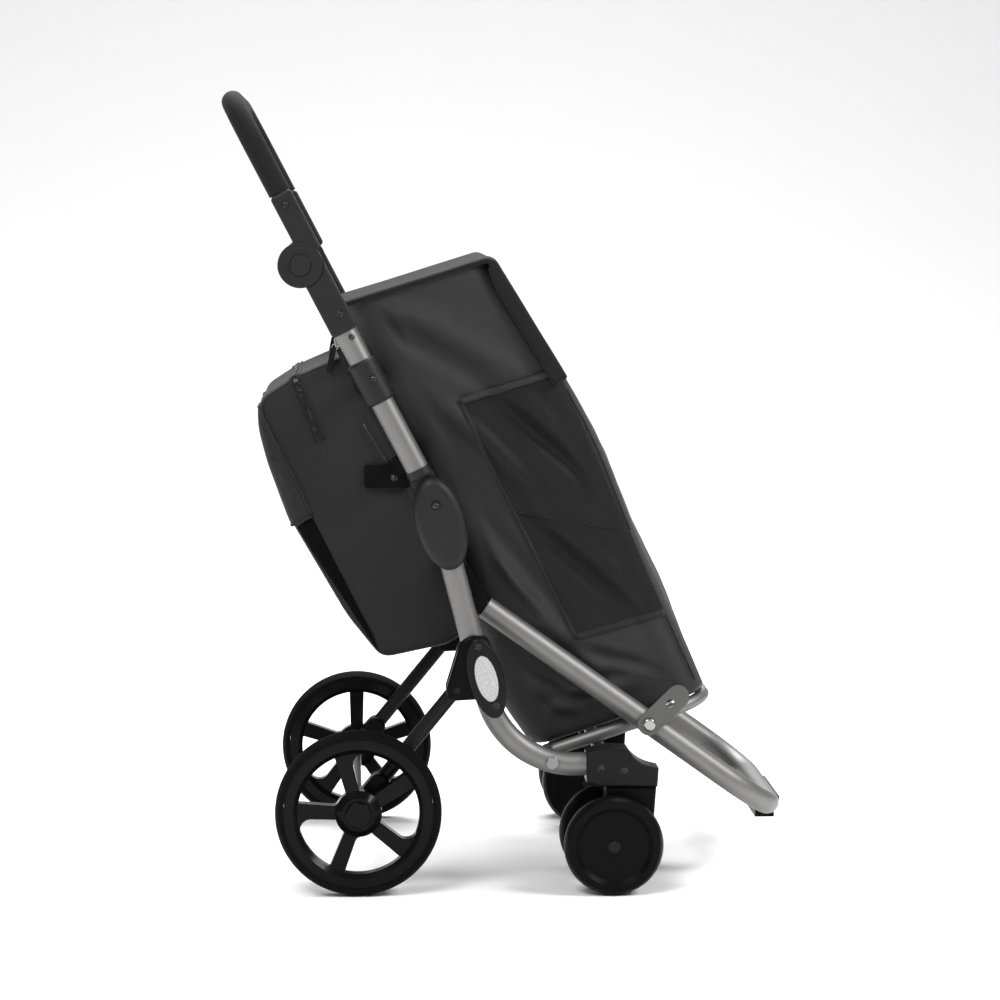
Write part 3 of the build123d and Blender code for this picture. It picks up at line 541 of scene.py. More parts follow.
def mesh_from(name, points, faces, uvs, normals=None):
    """A smooth mesh from points in metres, with a uv and, if given, a normal of each face corner."""
    mesh = bpy.data.meshes.new(name)
    mesh.from_pydata([tuple(p) for p in points], [], faces)
    mesh.uv_layers.new(name=CLOTH_UV).uv.foreach_set("vector", flat(uvs))
    mesh.polygons.foreach_set("use_smooth", [True] * len(mesh.polygons))
    mesh.update()
    if normals:
        mesh.normals_split_custom_set(normals)
    return mesh


def shell_to(mesh, shell):
    """Turns the faces of a closed shell outwards and moves it into a mesh."""
    bmesh.ops.recalc_face_normals(shell, faces=shell.faces)
    shell.to_mesh(mesh)
    shell.free()
    return mesh


def turned_out(mesh):
    """A closed mesh with its faces turned outwards."""
    shell = bmesh.new()
    shell.from_mesh(mesh)
    return shell_to(mesh, shell)


def strip_mesh(name, rows, sign=1.0):
    """A closed strip from cross rows whose last point meets the first underneath."""
    count, turn = len(rows[0]), int(sign)
    run = running([row[count // 2] for row in rows])
    girth = running(rows[0] + rows[0][:1])
    corners = [(square[1:] + square[:1])[::turn] for square in squares(len(rows), count)]
    faces = [[i * count + j % count for i, j in order] for order in corners]
    uvs = [(run[i], girth[j]) for i, j in flat(corners)]
    for i, way in ((0, -turn), (len(rows) - 1, turn)):
        faces.append([i * count + j for j in range(count)][::way])
        uvs += [(run[i], girth[j]) for j in range(count)]
    return turned_out(mesh_from(name, flat(rows), faces, uvs))


CORD_SIDES = 8


def cord_mesh(name, spots, radius):
    """A round cord along points in metres, closed at its ends."""
    turns = [2 * pi * k / CORD_SIDES for k in range(CORD_SIDES)]
    rows, side = [], Vector((0, 0, 1))
    for spot, ahead in zip(spots, headings(spots)):
        side = (side - ahead * side.dot(ahead)).normalized()
        other = ahead.cross(side)
        rows.append([spot + (side * cos(a) + other * sin(a)) * (radius * MM) for a in turns])
    return strip_mesh(name, rows)


def sheet_mesh(name, rows, thickness):
    """An open cloth panel from rows of points, with thickness inwards and closed edges."""
    high, wide = len(rows), len(rows[0])
    across, along = running(rows[high // 2]), running([row[wide // 2] for row in rows])
    corners = list(squares(high, wide, False))
    faces = [[i * wide + j for i, j in square] for square in corners]
    uvs = [(across[j], along[i]) for i, j in flat(corners)]
    seed = link(name, mesh_from(name, flat(rows), faces, uvs))
    solid = seed.modifiers.new("wall", "SOLIDIFY")
    solid.thickness = thickness * MM
    solid.offset = -1.0
    return applied(seed)


def plate_mesh(name, outline, low, high, bevel):
    """A flat piece from a side view outline between two widths, with rounded edges."""
    shell = bmesh.new()
    rings = [[shell.verts.new(place(spot, width)) for spot in outline] for width in (low, high)]
    for ring in rings:
        shell.faces.new(ring)
    for k in range(len(outline)):
        n = (k + 1) % len(outline)
        shell.faces.new((rings[0][k], rings[0][n], rings[1][n], rings[1][k]))
    bmesh.ops.bevel(shell, geom=shell.edges[:], offset=bevel * MM, segments=3, affect="EDGES", profile=0.5)
    return shell_to(bpy.data.meshes.new(name), shell)


def bar_outline(start, end, half):
    """Four corners of a bar between two points along and behind the upper tubes."""
    start, end = mast(*start), mast(*end)
    across = Vector((-(end - start).y, (end - start).x)).normalized() * half
    return (start - across, end - across, end + across, start + across)


# Surfaces that trim is laid on

SKIN = {}
# Cross section of a tape as (share of its width, share of its thickness)
TAPE_SECTION = ((-0.5, 0.0), (-0.5, 0.6), (-0.42, 1.0), (0.0, 1.0), (0.42, 1.0), (0.5, 0.6), (0.5, 0.0))
# Steps along a route, and how far off a surface a ray or a search for it starts
RIBBON_STEP, ROUTE_STEP, CLING_STEP = 4.0, 3.0, 2.5
RAY_START, CLING_START = 400.0, 4.0


def skin_of(key, rings):
    """Keeps a closed surface so that trim can be laid on it."""
    count = len(rings[0])
    faces = [[i * count + j % count for i, j in square] for square in squares(len(rings), count)]
    SKIN[key] = BVHTree.FromPolygons(flat(rings), faces)


def lay(key, point, sign, lift):
    """The point on the side of a surface over a side view point, lifted off it, and the surface normal."""
    spot, normal, _, _ = SKIN[key].ray_cast(place(point, RAY_START * sign), Vector((0, sign, 0)))
    if spot is None:
        raise RuntimeError(f"no cloth of {key} at {point[0]:.0f}, {point[1]:.0f}")
    if normal.y * sign > 0:
        normal = -normal
    return spot + normal * (lift * MM), normal


def cling(key, point, lift):
    """The nearest point of a surface to a point outside it, lifted off it, and the outward normal."""
    spot, normal, _, _ = SKIN[key].find_nearest(point)
    if (point - spot).dot(normal) < 0:
        normal = -normal
    return spot + normal * (lift * MM), normal


def route_on(key, route, sign, lift):
    """Points on the side of a surface along side view points."""
    return [lay(key, p, sign, lift)[0] for p in stations(route, ROUTE_STEP)]


def cling_path(key, stops, lift):
    """Points on a surface along a route of points outside it, and their normals."""
    return zip(*[cling(key, p, lift) for p in stations(stops, CLING_STEP * MM)])


def patch_mesh(name, key, corners, sign, lift, steps, thick):
    """A cloth panel laid on a surface between four side view corners, with its edges turned in."""
    a, b, c, d = corners
    wide, high = steps
    front, back = [], []
    for i in range(high + 1):
        for j in range(wide + 1):
            s, t = j / wide, i / high
            point = (a * (1 - s) + b * s) * (1 - t) + (d * (1 - s) + c * s) * t
            spot, normal = lay(key, point, sign, lift)
            front.append(spot)
            back.append(spot - normal * (thick * MM))
    shell, row = len(front), wide + 1
    faces = []
    for k in (i * row + j for i in range(high) for j in range(wide)):
        quad = [k, k + row, k + row + 1, k + 1]
        faces += [quad, [shell + q for q in quad[::-1]]]
    rim = [*range(row), *range(row + wide, shell, row)]
    rim += [*range(shell - 2, high * row - 1, -1), *range((high - 1) * row, 0, -row)]
    faces += [[k, n, shell + n, shell + k] for k, n in zip(rim, rim[1:] + rim[:1])]
    faces = [face[:: int(sign)] for face in faces]
    width, height = (b - a).length * MM, (d - a).length * MM
    uvs = [(k % shell % row / wide * width, k % shell // row / high * height) for k in flat(faces)]
    return mesh_from(name, front + back, faces, uvs)


def ribbon_mesh(name, key, route, sign, width, lift, thick):
    """A flat tape with rounded edges laid on the side of a surface along side view points."""
    spots = stations(route, RIBBON_STEP)
    rows = []
    for spot, ahead in zip(spots, headings(spots)):
        across = Vector((-ahead.y, ahead.x))
        beside = [(spot + across * (q * width), lift + rise * thick) for q, rise in TAPE_SECTION]
        rows.append([lay(key, p, sign, height)[0] for p, height in beside])
    return strip_mesh(name, rows, sign)


def band_mesh(name, key, stops, width, lift, thick):
    """A flat tape with rounded edges that clings to a surface along a route of points outside it."""
    spots, normals = cling_path(key, stops, lift)
    rows = []
    for spot, normal, ahead in zip(spots, normals, headings(spots)):
        across = normal.cross(ahead).normalized()
        off = normal * (CLING_START * MM)
        beside = [(spot + across * (q * width * MM) + off, lift + rise * thick) for q, rise in TAPE_SECTION]
        rows.append([cling(key, p, height)[0] for p, height in beside])
    return strip_mesh(name, rows)


# Geometry node trees


class Tree(Graph):
    """A geometry node tree with named sizes and a material as inputs, which sets out instances."""

    def __init__(self, name, **sizes):
        super().__init__(bpy.data.node_groups.new(name, "GeometryNodeTree"))
        self.keys = {}
        self.socket("Geometry", "Geometry")
        for key, size in sizes.items():
            self.socket(key, "Float").default_value = size
        self.socket("Material", "Material")
        self.socket("Geometry", "Geometry", "OUTPUT")
        self.source = self.group.nodes.new("NodeGroupInput")

    def socket(self, key, kind, way="INPUT"):
        made = self.group.interface.new_socket(key, in_out=way, socket_type=f"NodeSocket{kind}")
        self.keys[key] = made.identifier
        return made

    def input(self, key):
        return Wire(self, self.source.outputs[key])

    def dome(self, segments, rings, wide):
        """A ball of the tree's radius, flattened to its height."""
        sockets = {"Segments": segments, "Rings": rings, "Radius": self.input("Radius")}
        ball = self.node("GeometryNodeMeshUVSphere", sockets)
        squat = {0: wide, 1: wide, 2: self.input("Height") / self.input("Radius")}
        scale = self.node("ShaderNodeCombineXYZ", squat)
        return self.node("GeometryNodeTransform", {"Geometry": ball, "Scale": scale})

    def upright(self):
        """The turn of the z axis to a point's facing."""
        facing = self.node("GeometryNodeInputNamedAttribute", {"Name": "facing"}, data_type="FLOAT_VECTOR")
        return self.node("FunctionNodeAlignRotationToVector", {"Vector": facing}, axis="Z")

    def path(self):
        """The paths through the tree's points in steps of its pitch, and their tangent."""
        curve = self.node("GeometryNodeMeshToCurve", {0: self.input("Geometry")})
        sockets = {"Curve": curve, "Length": self.input("Pitch")}
        even = self.node("GeometryNodeResampleCurve", sockets, mode="LENGTH")
        return even, self.node("GeometryNodeInputTangent")

    def end(self, **sockets):
        """Sets out the instances, realizes them, sets the material and closes the tree."""
        made = self.node("GeometryNodeInstanceOnPoints", sockets)
        real = self.node("GeometryNodeRealizeInstances", {0: made})
        dressed = self.node("GeometryNodeSetMaterial", {0: real, 2: self.input("Material")})
        self.feed(self.group.nodes.new("NodeGroupOutput"), {0: dressed})
        return self


@cache
def screw_tree():
    """Dome-headed screws with a cross recess, on a washer."""
    tree = Tree("ScrewHeads", Radius=0.0036, Height=0.0022)
    disc = {"Vertices": 24, "Radius": tree.input("Radius"), "Depth": 0.0012}
    washer = tree.node("GeometryNodeMeshCylinder", disc)
    bars = []
    for size in ((0.0042, 0.0009, 0.0030), (0.0009, 0.0042, 0.0030)):
        bar = tree.node("GeometryNodeMeshCube", {"Size": size})
        bars.append(tree.node("GeometryNodeTransform", {"Geometry": bar, "Translation": (0, 0, 0.0028)}))
    cut = {0: tree.dome(20, 12, 0.86), 1: bars}
    head = tree.node("GeometryNodeMeshBoolean", cut, operation="DIFFERENCE", solver="EXACT")
    screw = tree.node("GeometryNodeJoinGeometry", {0: [washer, head]})
    return tree.end(Points=tree.input("Geometry"), Instance=screw, Rotation=tree.upright())


@cache
def button_tree():
    """Plain domed snap buttons."""
    tree = Tree("SnapButtons", Radius=0.0036, Height=0.0034)
    smooth = tree.node("GeometryNodeSetShadeSmooth", {"Geometry": tree.dome(24, 14, 1.0)})
    return tree.end(Points=tree.input("Geometry"), Instance=smooth, Rotation=tree.upright())


@cache
def stitch_tree():
    """Rows of thread stitches along paths."""
    tree = Tree("StitchRow", Pitch=0.0042, Length=0.0014, Radius=0.0004)
    even, tangent = tree.path()
    grain = tree.node("GeometryNodeMeshIcoSphere", {"Radius": 1.0, "Subdivisions": 1})
    thin = tree.input("Radius")
    size = tree.node("ShaderNodeCombineXYZ", {0: thin, 1: thin, 2: tree.input("Length")})
    turn = tree.node("FunctionNodeAlignRotationToVector", {"Vector": tangent}, axis="Z")
    return tree.end(Points=even, Instance=grain, Rotation=turn, Scale=size)


@cache
def tooth_tree():
    """Zip teeth along a path, square to the cloth."""
    tree = Tree("ZipTeeth", Pitch=0.0022)
    even, tangent = tree.path()
    tooth = tree.node("GeometryNodeMeshCube", {"Size": (0.0012, 0.0052, 0.0014)})
    along = {"Rotation": tree.upright(), "Vector": tangent}
    turn = tree.node("FunctionNodeAlignRotationToVector", along, axis="X", pivot_axis="Z")
    return tree.end(Points=even, Instance=tooth, Rotation=turn)


def grow(name, tree, paths, facing, values, paint):
    """Runs a tree on paths of points with directions and gives the result as a plain piece."""
    edges, start = [], 0
    for path in paths:
        edges += [(start + i, start + i + 1) for i in range(len(path) - 1)]
        start += len(path)
    mesh = bpy.data.meshes.new(name)
    mesh.from_pydata([tuple(p) for p in flat(paths)], edges, [])
    layer = mesh.attributes.new("facing", "FLOAT_VECTOR", "POINT")
    layer.data.foreach_set("vector", flat(facing))
    seed = link(name, mesh)
    modifier = seed.modifiers.new("grow", "NODES")
    modifier.node_group = tree.group
    for key, value in values.items():
        modifier[tree.keys[key]] = value
    modifier[tree.keys["Material"]] = paint_for(paint)
    return new_piece(applied(seed), None)


def stitches(name, paths):
    """One piece of stitch rows along paths."""
    facing = [(0, 0, 1)] * len(flat(paths))
    values = {"Pitch": bag_settings().stitch_pitch}
    return grow(name, stitch_tree(), paths, facing, values, "thread")


# Property groups


def length(name, description, default):
    """A length that a user would change, with its default in millimetres."""
    return bpy.props.FloatProperty(
        name=name, description=description, default=default * MM, subtype="DISTANCE"
    )


class TrolleyBagSettings(bpy.types.PropertyGroup):
    """Sizes of the cloth, its trim and the screws."""

    wall: length("Cloth wall", "Thickness of the bag cloth with its lining", 2.4)
    binding: length("Binding width", "Width of the tape round the pocket", 8.0)
    stitch_pitch: length("Stitch pitch", "Distance from stitch to stitch", 4.2)
    screw_radius: length("Screw head radius", "Radius of the cross-head screws", 4.4)
    lid_band: length("Flap band", "Depth of the band at the sides of the front flap", 15.0)


class TrolleyStageSettings(bpy.types.PropertyGroup):
    """Light and backdrop."""

    floor_colour: bpy.props.FloatVectorProperty(
        name="Floor colour", description="Colour of floor and backdrop", subtype="COLOR", size=3,
        default=(0.94, 0.94, 0.94), min=0.0, max=1.0,
    )
    key_power: bpy.props.FloatProperty(
        name="Key light", description="Power that all lights are set by", default=88.0, unit="POWER"
    )


def bag_settings():
    return bpy.context.scene.trolley_bag


# Nodes by the start of their names; all others are moulded plastic
LOOKS = {
    "tube": ("chassis_tube", "upper_tube", "foot_loop", "base_loop", "handle_tube"),
    "plate": ("strap_plate",),
    "satin_plastic": ("reflector_cups", "caster_housing"),
    "gloss": ("rear_rim", "hub_cap"),
    "caster": (
        "caster_wheel", "caster_fork", "leg_bracket", "leg_shoes", "rear_bag_brackets", "loop_knuckle",
        "foot_pad",
    ),
    "tyre": ("rear_tyre",),
    "foam": ("handle_grip",),
    "steel": ("loop_bolts",),
    "dark_steel": ("rear_axle",),
    "rivet": ("chassis_fasteners",),
    "lens": ("reflector_lenses",),
    "powder": ("rear_leg", "front_cross_tube", "upper_cross_bar", "fold_lever", "caster_axle"),
    "cloth": ("main_bag",),
}


class TROLLEY_OT_finishes(bpy.types.Operator):
    """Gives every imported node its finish"""

    bl_idname = "trolley.finishes"
    bl_label = "Finishes"

    def execute(self, context):
        for name, node in NODES.items():
            key = next((key for key, starts in LOOKS.items() if name.startswith(starts)), "plastic")
            for slot in node.material_slots:
                slot.material = paint_for(key)
        return {"FINISHED"}


# Main bag: levels from the floor to the top as (share of height, rear point, front point, half width)
BAG_LEVELS = (
    (0.0, (215.0, 158.5), (431.0, 229.0), 140.0),
    (0.12, (170.0, 231.0), (408.0, 283.0), 141.0),
    (0.29, (141.0, 351.0), (375.5, 355.0), 144.0),
    (0.455, (105.5, 467.1), (343.5, 425.0), 147.0),
    (0.6, (70.5, 537.0), (305.0, 520.0), 156.5),
    (0.745, (35.0, 606.0), (263.5, 601.0), 166.0),
    (1.0, (-16.5, 705.1), (163.0, 761.0), 172.0),
)
BAG_STOPS = [
    [(level[0], Vector(level[k]) if k < 3 else level[k]) for level in BAG_LEVELS] for k in (1, 2, 3)
]
BAG_WAIST = 0.455
# Height of the bag along its seams, its rounded hem, the rings of its floor, and its rows of points
BAG_HEIGHT = 550.0
HEM_R, HEM_STEPS, HEM_SAG = 10.0, 5, 0.3
FLOOR_SHARES, FLOOR_SAG = (0.04, 0.2, 0.4, 0.6, 0.8, 0.93), 6.0
LOWER_ROWS, UPPER_ROWS = 62, 70
# Runs round a level: region, side, steps, direction and outward normal as (forward, to the right).
# Each run ends in a rounded corner.
BAG_RUNS = (
    ("side", 1, 36, Vector((1, 0)), Vector((0, 1))),
    ("front", 0, 48, Vector((0, -1)), Vector((1, 0))),
    ("side", -1, 36, Vector((-1, 0)), Vector((0, -1))),
    ("rear", 0, 48, Vector((0, 1)), Vector((-1, 0))),
)
BAG_CORNER, LEAST_CORNER, CORNER_STEPS = 34.0, 4.0, 8
# Folds of the side panels as (start, end, width, height), shifted on the left so that the sides differ
BAG_FOLDS = (
    ((20.0, 690.0), (181.0, 606.0), 15.0, -9.5),
    ((-5.0, 700.0), (100.0, 690.0), 13.0, 4.7),
    ((32.0, 693.0), (55.0, 655.0), 7.0, -4.1),
    ((150.0, 606.0), (315.0, 462.0), 13.0, -10.1),
    ((120.0, 572.0), (225.0, 470.0), 13.0, 6.1),
    ((70.0, 585.0), (150.0, 520.0), 14.0, -5.4),
    ((205.0, 441.0), (343.0, 321.0), 14.0, -8.1),
    ((130.0, 440.0), (238.0, 306.0), 14.0, 7.4),
    ((150.0, 395.0), (215.0, 325.0), 8.0, -5.4),
    ((171.0, 268.0), (271.0, 215.0), 10.0, 6.8),
    ((180.0, 236.0), (262.0, 192.0), 8.0, -6.1),
    ((206.0, 196.0), (336.0, 240.0), 10.0, 6.1),
    ((230.0, 300.0), (300.0, 230.0), 10.0, -4.7),
    ((274.0, 282.0), (418.0, 239.0), 8.0, -4.7),
    ((300.0, 262.0), (400.0, 250.0), 9.0, 4.1),
)
FOLD_SHIFT = {1: Vector((0.0, 0.0)), -1: Vector((9.0, -14.0))}

# Parts of the main bag: the body that each rides on, and how it flattens towards the tubes in the fold
UPPER_FLAT = {"axis": (-MAST_BACK.x, 0.0, -MAST_BACK.y), "anchor": place(mast(0.0, -13.0)), "keep": 0.12}
LOWER_FLAT = {"axis": (0.958, 0.0, 0.287), "anchor": place(BAG_LEVELS[0][1]), "keep": 0.1}
FLATTEN = {
    "upper": ("upper_frame", UPPER_FLAT),
    "lower": ("chassis", LOWER_FLAT),
    "lid": ("lid", UPPER_FLAT),
}


def on_bag(piece, part):
    """Makes a piece ride with a part of the main bag, on a mesh of its own."""
    body, flattening = FLATTEN[part]
    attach(piece, body)
    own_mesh(piece)


def bag_level(v):
    """Rear point, front point and half width of the main bag at a share of its height."""
    return [through(stops, v) for stops in BAG_STOPS]


def fold_shape(point, start, end, width):
    """A ridge of height 1 along a line, with a shallow valley on one side, fading to its ends."""
    run = end - start
    t = (point - start).dot(run) / run.length_squared
    across = (point - start).dot(Vector((-run.y, run.x))) / run.length / width
    if not -0.15 < t < 1.15 or abs(across) > 4:
        return 0.0
    fade = sin(pi * min(max((t + 0.15) / 1.3, 0.0), 1.0)) ** 0.8
    return fade * (exp(-across * across) - 0.7 * exp(-((across - 1.5) ** 2)))


def bag_sag(region, q, point, v, sign):
    """How far the cloth stands out from the plain loft, in millimetres."""
    seat = noise.noise(Vector((point.x * 0.012, point.y * 0.012, 3.0 * sign + 7.0 * len(region))))
    fine = noise.noise(Vector((point.x * 0.045, point.y * 0.045, 5.0 * sign + 3.0 * len(region))))
    drape = 1.6 * seat + 0.6 * fine
    middle = max(0.0, 1 - q * q)
    if region == "side":
        for start, end, width, height in BAG_FOLDS:
            drape += height * fold_shape(point + FOLD_SHIFT[sign], Vector(start), Vector(end), width)
        return drape * min(1.0, 3 * middle) + 5.0 * middle * sin(pi * min(v * 1.15, 1.0))
    if region == "front":
        return drape * 1.4 * min(1.0, 3 * middle) + 8.0 * middle * sin(pi * min(v * 1.3, 1.0))
    return (0.5 * drape - 1.5) * middle


def bag_ring(v, inset=0.0, drop=0.0, sag=1.0):
    """Points of the main bag's cloth round one level, in metres."""
    rear, front, half = bag_level(v)
    e = (front - rear).normalized()
    down = Vector((-e.y, e.x)) * drop
    middle = (rear + front) / 2
    r = max(BAG_CORNER - inset, LEAST_CORNER)
    flat_long = (front - rear).length / 2 - inset - r
    flat_wide = half - inset - r
    ring = []
    for region, sign, steps, ahead, out in BAG_RUNS:
        reach = flat_long if ahead.x else flat_wide
        edge = Vector((out.x * flat_long, out.y * flat_wide))
        for i in range(steps + CORNER_STEPS):
            q = min(-1 + 2 * i / steps, 1.0)
            a = max(i - steps, 0) / CORNER_STEPS * pi / 2
            normal = out * cos(a) + ahead * sin(a)
            spot = ahead * reach * q + edge + normal * r
            side_view = middle + e * spot.x - down
            extra = bag_sag(region, q, side_view, v, sign) * sag
            ring.append(place(side_view + e * (normal.x * extra), spot.y + normal.y * extra))
    return ring


def bag_rings():
    """All rings of the main bag from the middle of its floor to its rim, and the waist ring's number."""
    base = bag_ring(0.0, HEM_R, sag=0.0)
    centre = sum(base, Vector()) / len(base)
    rings = []
    for share in FLOOR_SHARES:
        sink = Vector((0, 0, -FLOOR_SAG * MM * (1 - share * share)))
        rings.append([centre + (p - centre) * share + sink for p in base])
    for i in range(HEM_STEPS):
        a = (1 - i / HEM_STEPS) * pi / 2
        rings.append(bag_ring(0.0, HEM_R * (1 - cos(a)), HEM_R * (sin(a) - 1), HEM_SAG))
    low = HEM_R / BAG_HEIGHT
    for i in range(LOWER_ROWS + 1):
        v = low + (BAG_WAIST - low) * i / LOWER_ROWS
        rings.append(bag_ring(v, sag=min(1.0, HEM_SAG + i / 6)))
    for i in range(1, UPPER_ROWS + 1):
        v = BAG_WAIST + (1 - BAG_WAIST) * i / UPPER_ROWS
        rings.append(bag_ring(v, sag=1.0 - 0.6 * (i / UPPER_ROWS) ** 6))
    return rings, len(rings) - 1 - UPPER_ROWS


def ring_normals(rings):
    """Outward normals of a stack of rings."""
    last, count = len(rings) - 1, len(rings[0])
    normals = []
    for i, ring in enumerate(rings):
        below, above = rings[max(i - 1, 0)], rings[min(i + 1, last)]
        round_it = [ring[(j + 1) % count] - ring[j - 1] for j in range(count)]
        normals.append([a.cross(high - low).normalized() for a, low, high in zip(round_it, below, above)])
    return normals


def wall_mesh(name, rings, normals, thickness, closed_floor):
    """A cloth wall with an inner face from a stack of rings, and a floor if it has one."""
    count, last = len(rings[0]), len(rings) - 1
    points = flat(rings)
    inside = len(points)
    points += [p - n * thickness for p, n in zip(points, flat(normals))]
    girth = running(rings[last] + rings[last][:1])
    height = running([ring[0] for ring in rings])
    faces, corner_normals, uvs = [], [], []
    layers = ((0, 1), (inside, -1))

    def spot(layer, i, j):
        return layer + i * count + j % count

    for square in squares(len(rings), count):
        for layer, way in layers:
            order = square[::way]
            faces.append([spot(layer, i, j) for i, j in order])
            corner_normals += [normals[i][j % count] * way for i, j in order]
            uvs += [(girth[j], height[i]) for i, j in order]
    for i in [last] if closed_floor else [0, last]:
        for j in range(count):
            order = [spot(0, i, j), spot(0, i, j + 1), spot(inside, i, j + 1), spot(inside, i, j)]
            faces.append(order if i == last else order[::-1])
            uvs += [(girth[j], 0.0)] * 4
    for layer, way in layers if closed_floor else ():
        middle = len(points)
        points.append(sum((points[spot(layer, 0, j)] for j in range(count)), Vector()) / count)
        for j in range(count):
            faces.append([middle, spot(layer, 0, j + 1), spot(layer, 0, j)][::way])
            uvs += [(girth[j], 0.0)] * 3
    # Corners of the rims and the floor keep the mesh's own normals
    corner_normals += [Vector((0, 0, 0))] * (len(uvs) - len(corner_normals))
    return mesh_from(name, points, faces, uvs, corner_normals)


class TROLLEY_OT_main_bag(bpy.types.Operator):
    """Makes the main bag as one sagging shell, parted at the height of the fold"""

    bl_idname = "trolley.main_bag"
    bl_label = "Main bag"

    def execute(self, context):
        rings, waist = bag_rings()
        normals = ring_normals(rings)
        skin_of("bag", rings)
        wall = bag_settings().wall
        for part, rows in (("lower", slice(0, waist + 1)), ("upper", slice(waist, None))):
            mesh = wall_mesh(f"bag_{part}", rings[rows], normals[rows], wall, part == "lower")
            piece = new_piece(mesh, "cloth")
            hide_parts(f"main_bag_{part}")
            on_bag(piece, part)
        return {"FINISHED"}


# Side pocket: corners from the rear top round to the rear bottom, how far its upper half laps the lower,
# and steps and thickness of its net
POCKET = (Vector((125.0, 589.0)), Vector((243.0, 625.0)), Vector((376.0, 327.0)), Vector((267.0, 298.0)))
POCKET_LAP = 2.0
NET_STEPS, NET_THICK = (30, 60), 0.8
NARROW_TAPE, TAPE_THICK = 0.45, 1.0


def waist_cut(a, b):
    """Where a side view line crosses the plane that parts the main bag."""
    rear, front, _ = bag_level(BAG_WAIST)
    across = Vector((-(front - rear).y, (front - rear).x))
    da, db = (a - rear).dot(across), (b - rear).dot(across)
    return a.lerp(b, da / (da - db))


def quad_area(corners):
    """Area of a four-cornered side view panel."""
    return abs(sum(a.cross(b) for a, b in zip(corners, corners[1:] + corners[:1]))) / 2


class TROLLEY_OT_side_pockets(bpy.types.Operator):
    """Lays a net pocket with taped edges on each side of the main bag"""

    bl_idname = "trolley.side_pockets"
    bl_label = "Side pockets"

    def execute(self, context):
        a, b, c, d = POCKET
        rear_cut, front_cut = waist_cut(a, d), waist_cut(b, c)
        over = (d - a).normalized() * POCKET_LAP
        nets = (
            ("upper", (a, b, front_cut + over, rear_cut + over), 1.75),
            ("lower", (rear_cut, front_cut, c, d), 1.6),
        )
        tape = bag_settings().binding / MM
        edges = (
            ("top", "upper", (a, b), tape, 3.0, "pale_tape"),
            ("foot", "lower", (d, c), tape, 1.4, "tape"),
            ("rear_upper", "upper", (a, rear_cut), tape * NARROW_TAPE, 1.4, "tape"),
            ("rear_lower", "lower", (rear_cut, d), tape * NARROW_TAPE, 1.4, "tape"),
        )
        for side, sign in SIDES:
            for part, corners, lift in nets:
                name = f"pocket_net_{part}_{side}"
                piece = new_piece(patch_mesh(name, "bag", corners, sign, lift, NET_STEPS, NET_THICK), "net")
                on_bag(piece, part)
                top, front, foot, rear = ((q - p).length for p, q in zip(corners, corners[1:] + corners[:1]))
                quad_area(corners) * MM * MM
            for where, part, route, width, lift, paint in edges:
                name = f"pocket_tape_{where}_{side}"
                mesh = ribbon_mesh(name, "bag", route, sign, width, lift, TAPE_THICK)
                on_bag(new_piece(mesh, paint), part)
        return {"FINISHED"}


# Seams on the sides of the main bag as (part, whether it is piped, side view points)
BAG_SEAMS = (
    ("upper", True, ((252.0, 606.0), (276.0, 564.0), (294.0, 527.0), (318.0, 468.0), (334.0, 429.0))),
    ("lower", True, ((334.0, 425.0), (349.0, 390.0), (384.0, 312.0), (404.0, 268.0), (416.0, 242.0))),
    ("upper", False, ((103.0, 583.0), (20.0, 705.0))),
    ("lower", False, ((264.0, 290.0), (285.0, 262.0), (412.0, 238.0))),
)
# Stitches: offset from a seam, inset from the ends of a pocket tape, and distance from its middle
BESIDE_SEAM = Vector((-4.5, -1.5))
TAPE_INSET, TAPE_OFF = 2.0, 2.6


class TROLLEY_OT_bag_seams(bpy.types.Operator):
    """Sews the seams of the main bag: a turned edge with a row of stitches beside it"""

    bl_idname = "trolley.bag_seams"
    bl_label = "Bag seams"

    def execute(self, context):
        rows = {"upper": [], "lower": []}
        for side, sign in SIDES:
            for part, piped, route in BAG_SEAMS:
                if piped:
                    cord = cord_mesh(f"bag_piping_{part}_{side}", route_on("bag", route, sign, 0.5), 1.5)
                    on_bag(new_piece(cord, "tape"), part)
                beside = [Vector(p) + BESIDE_SEAM for p in route]
                rows[part].append(route_on("bag", beside, sign, 0.25))
        a, b, c, d = POCKET
        for _, sign in SIDES:
            for off in (TAPE_OFF, -TAPE_OFF):
                for part, start, end, lift in (("upper", a, b, 4.1), ("lower", d, c, 2.5)):
                    route = (start + Vector((TAPE_INSET, off)), end + Vector((-TAPE_INSET, off)))
                    rows[part].append(route_on("bag", route, sign, lift))
        for part, paths in rows.items():
            on_bag(stitches(f"bag_stitches_{part}", paths), part)
        return {"FINISHED"}


# Lid: hinge, front corner and foot of the flap, half width, and depth of the side band at the hinge
LID_REAR, LID_CORNER, LID_FOOT = Vector((-16.5, 705.4)), Vector((163.0, 761.0)), Vector((251.5, 616.5))
LID_HALF, LID_BAND = 174.5, 3.0
# Radius of the front bend, rounding of the side edges, reach behind the hinge, height and cloth
LID_BEND, LID_EDGE, LID_BACK, LID_LIFT, LID_CLOTH = 12.0, 1.5, 5.0, 2.5, 2.2
# Rows of points of the top, the bend and the flap, and points across the top and a side band
TOP_ROWS, BEND_ROWS, FLAP_ROWS = 31, 10, 28
LID_ACROSS, BAND_STEPS = 44, 6


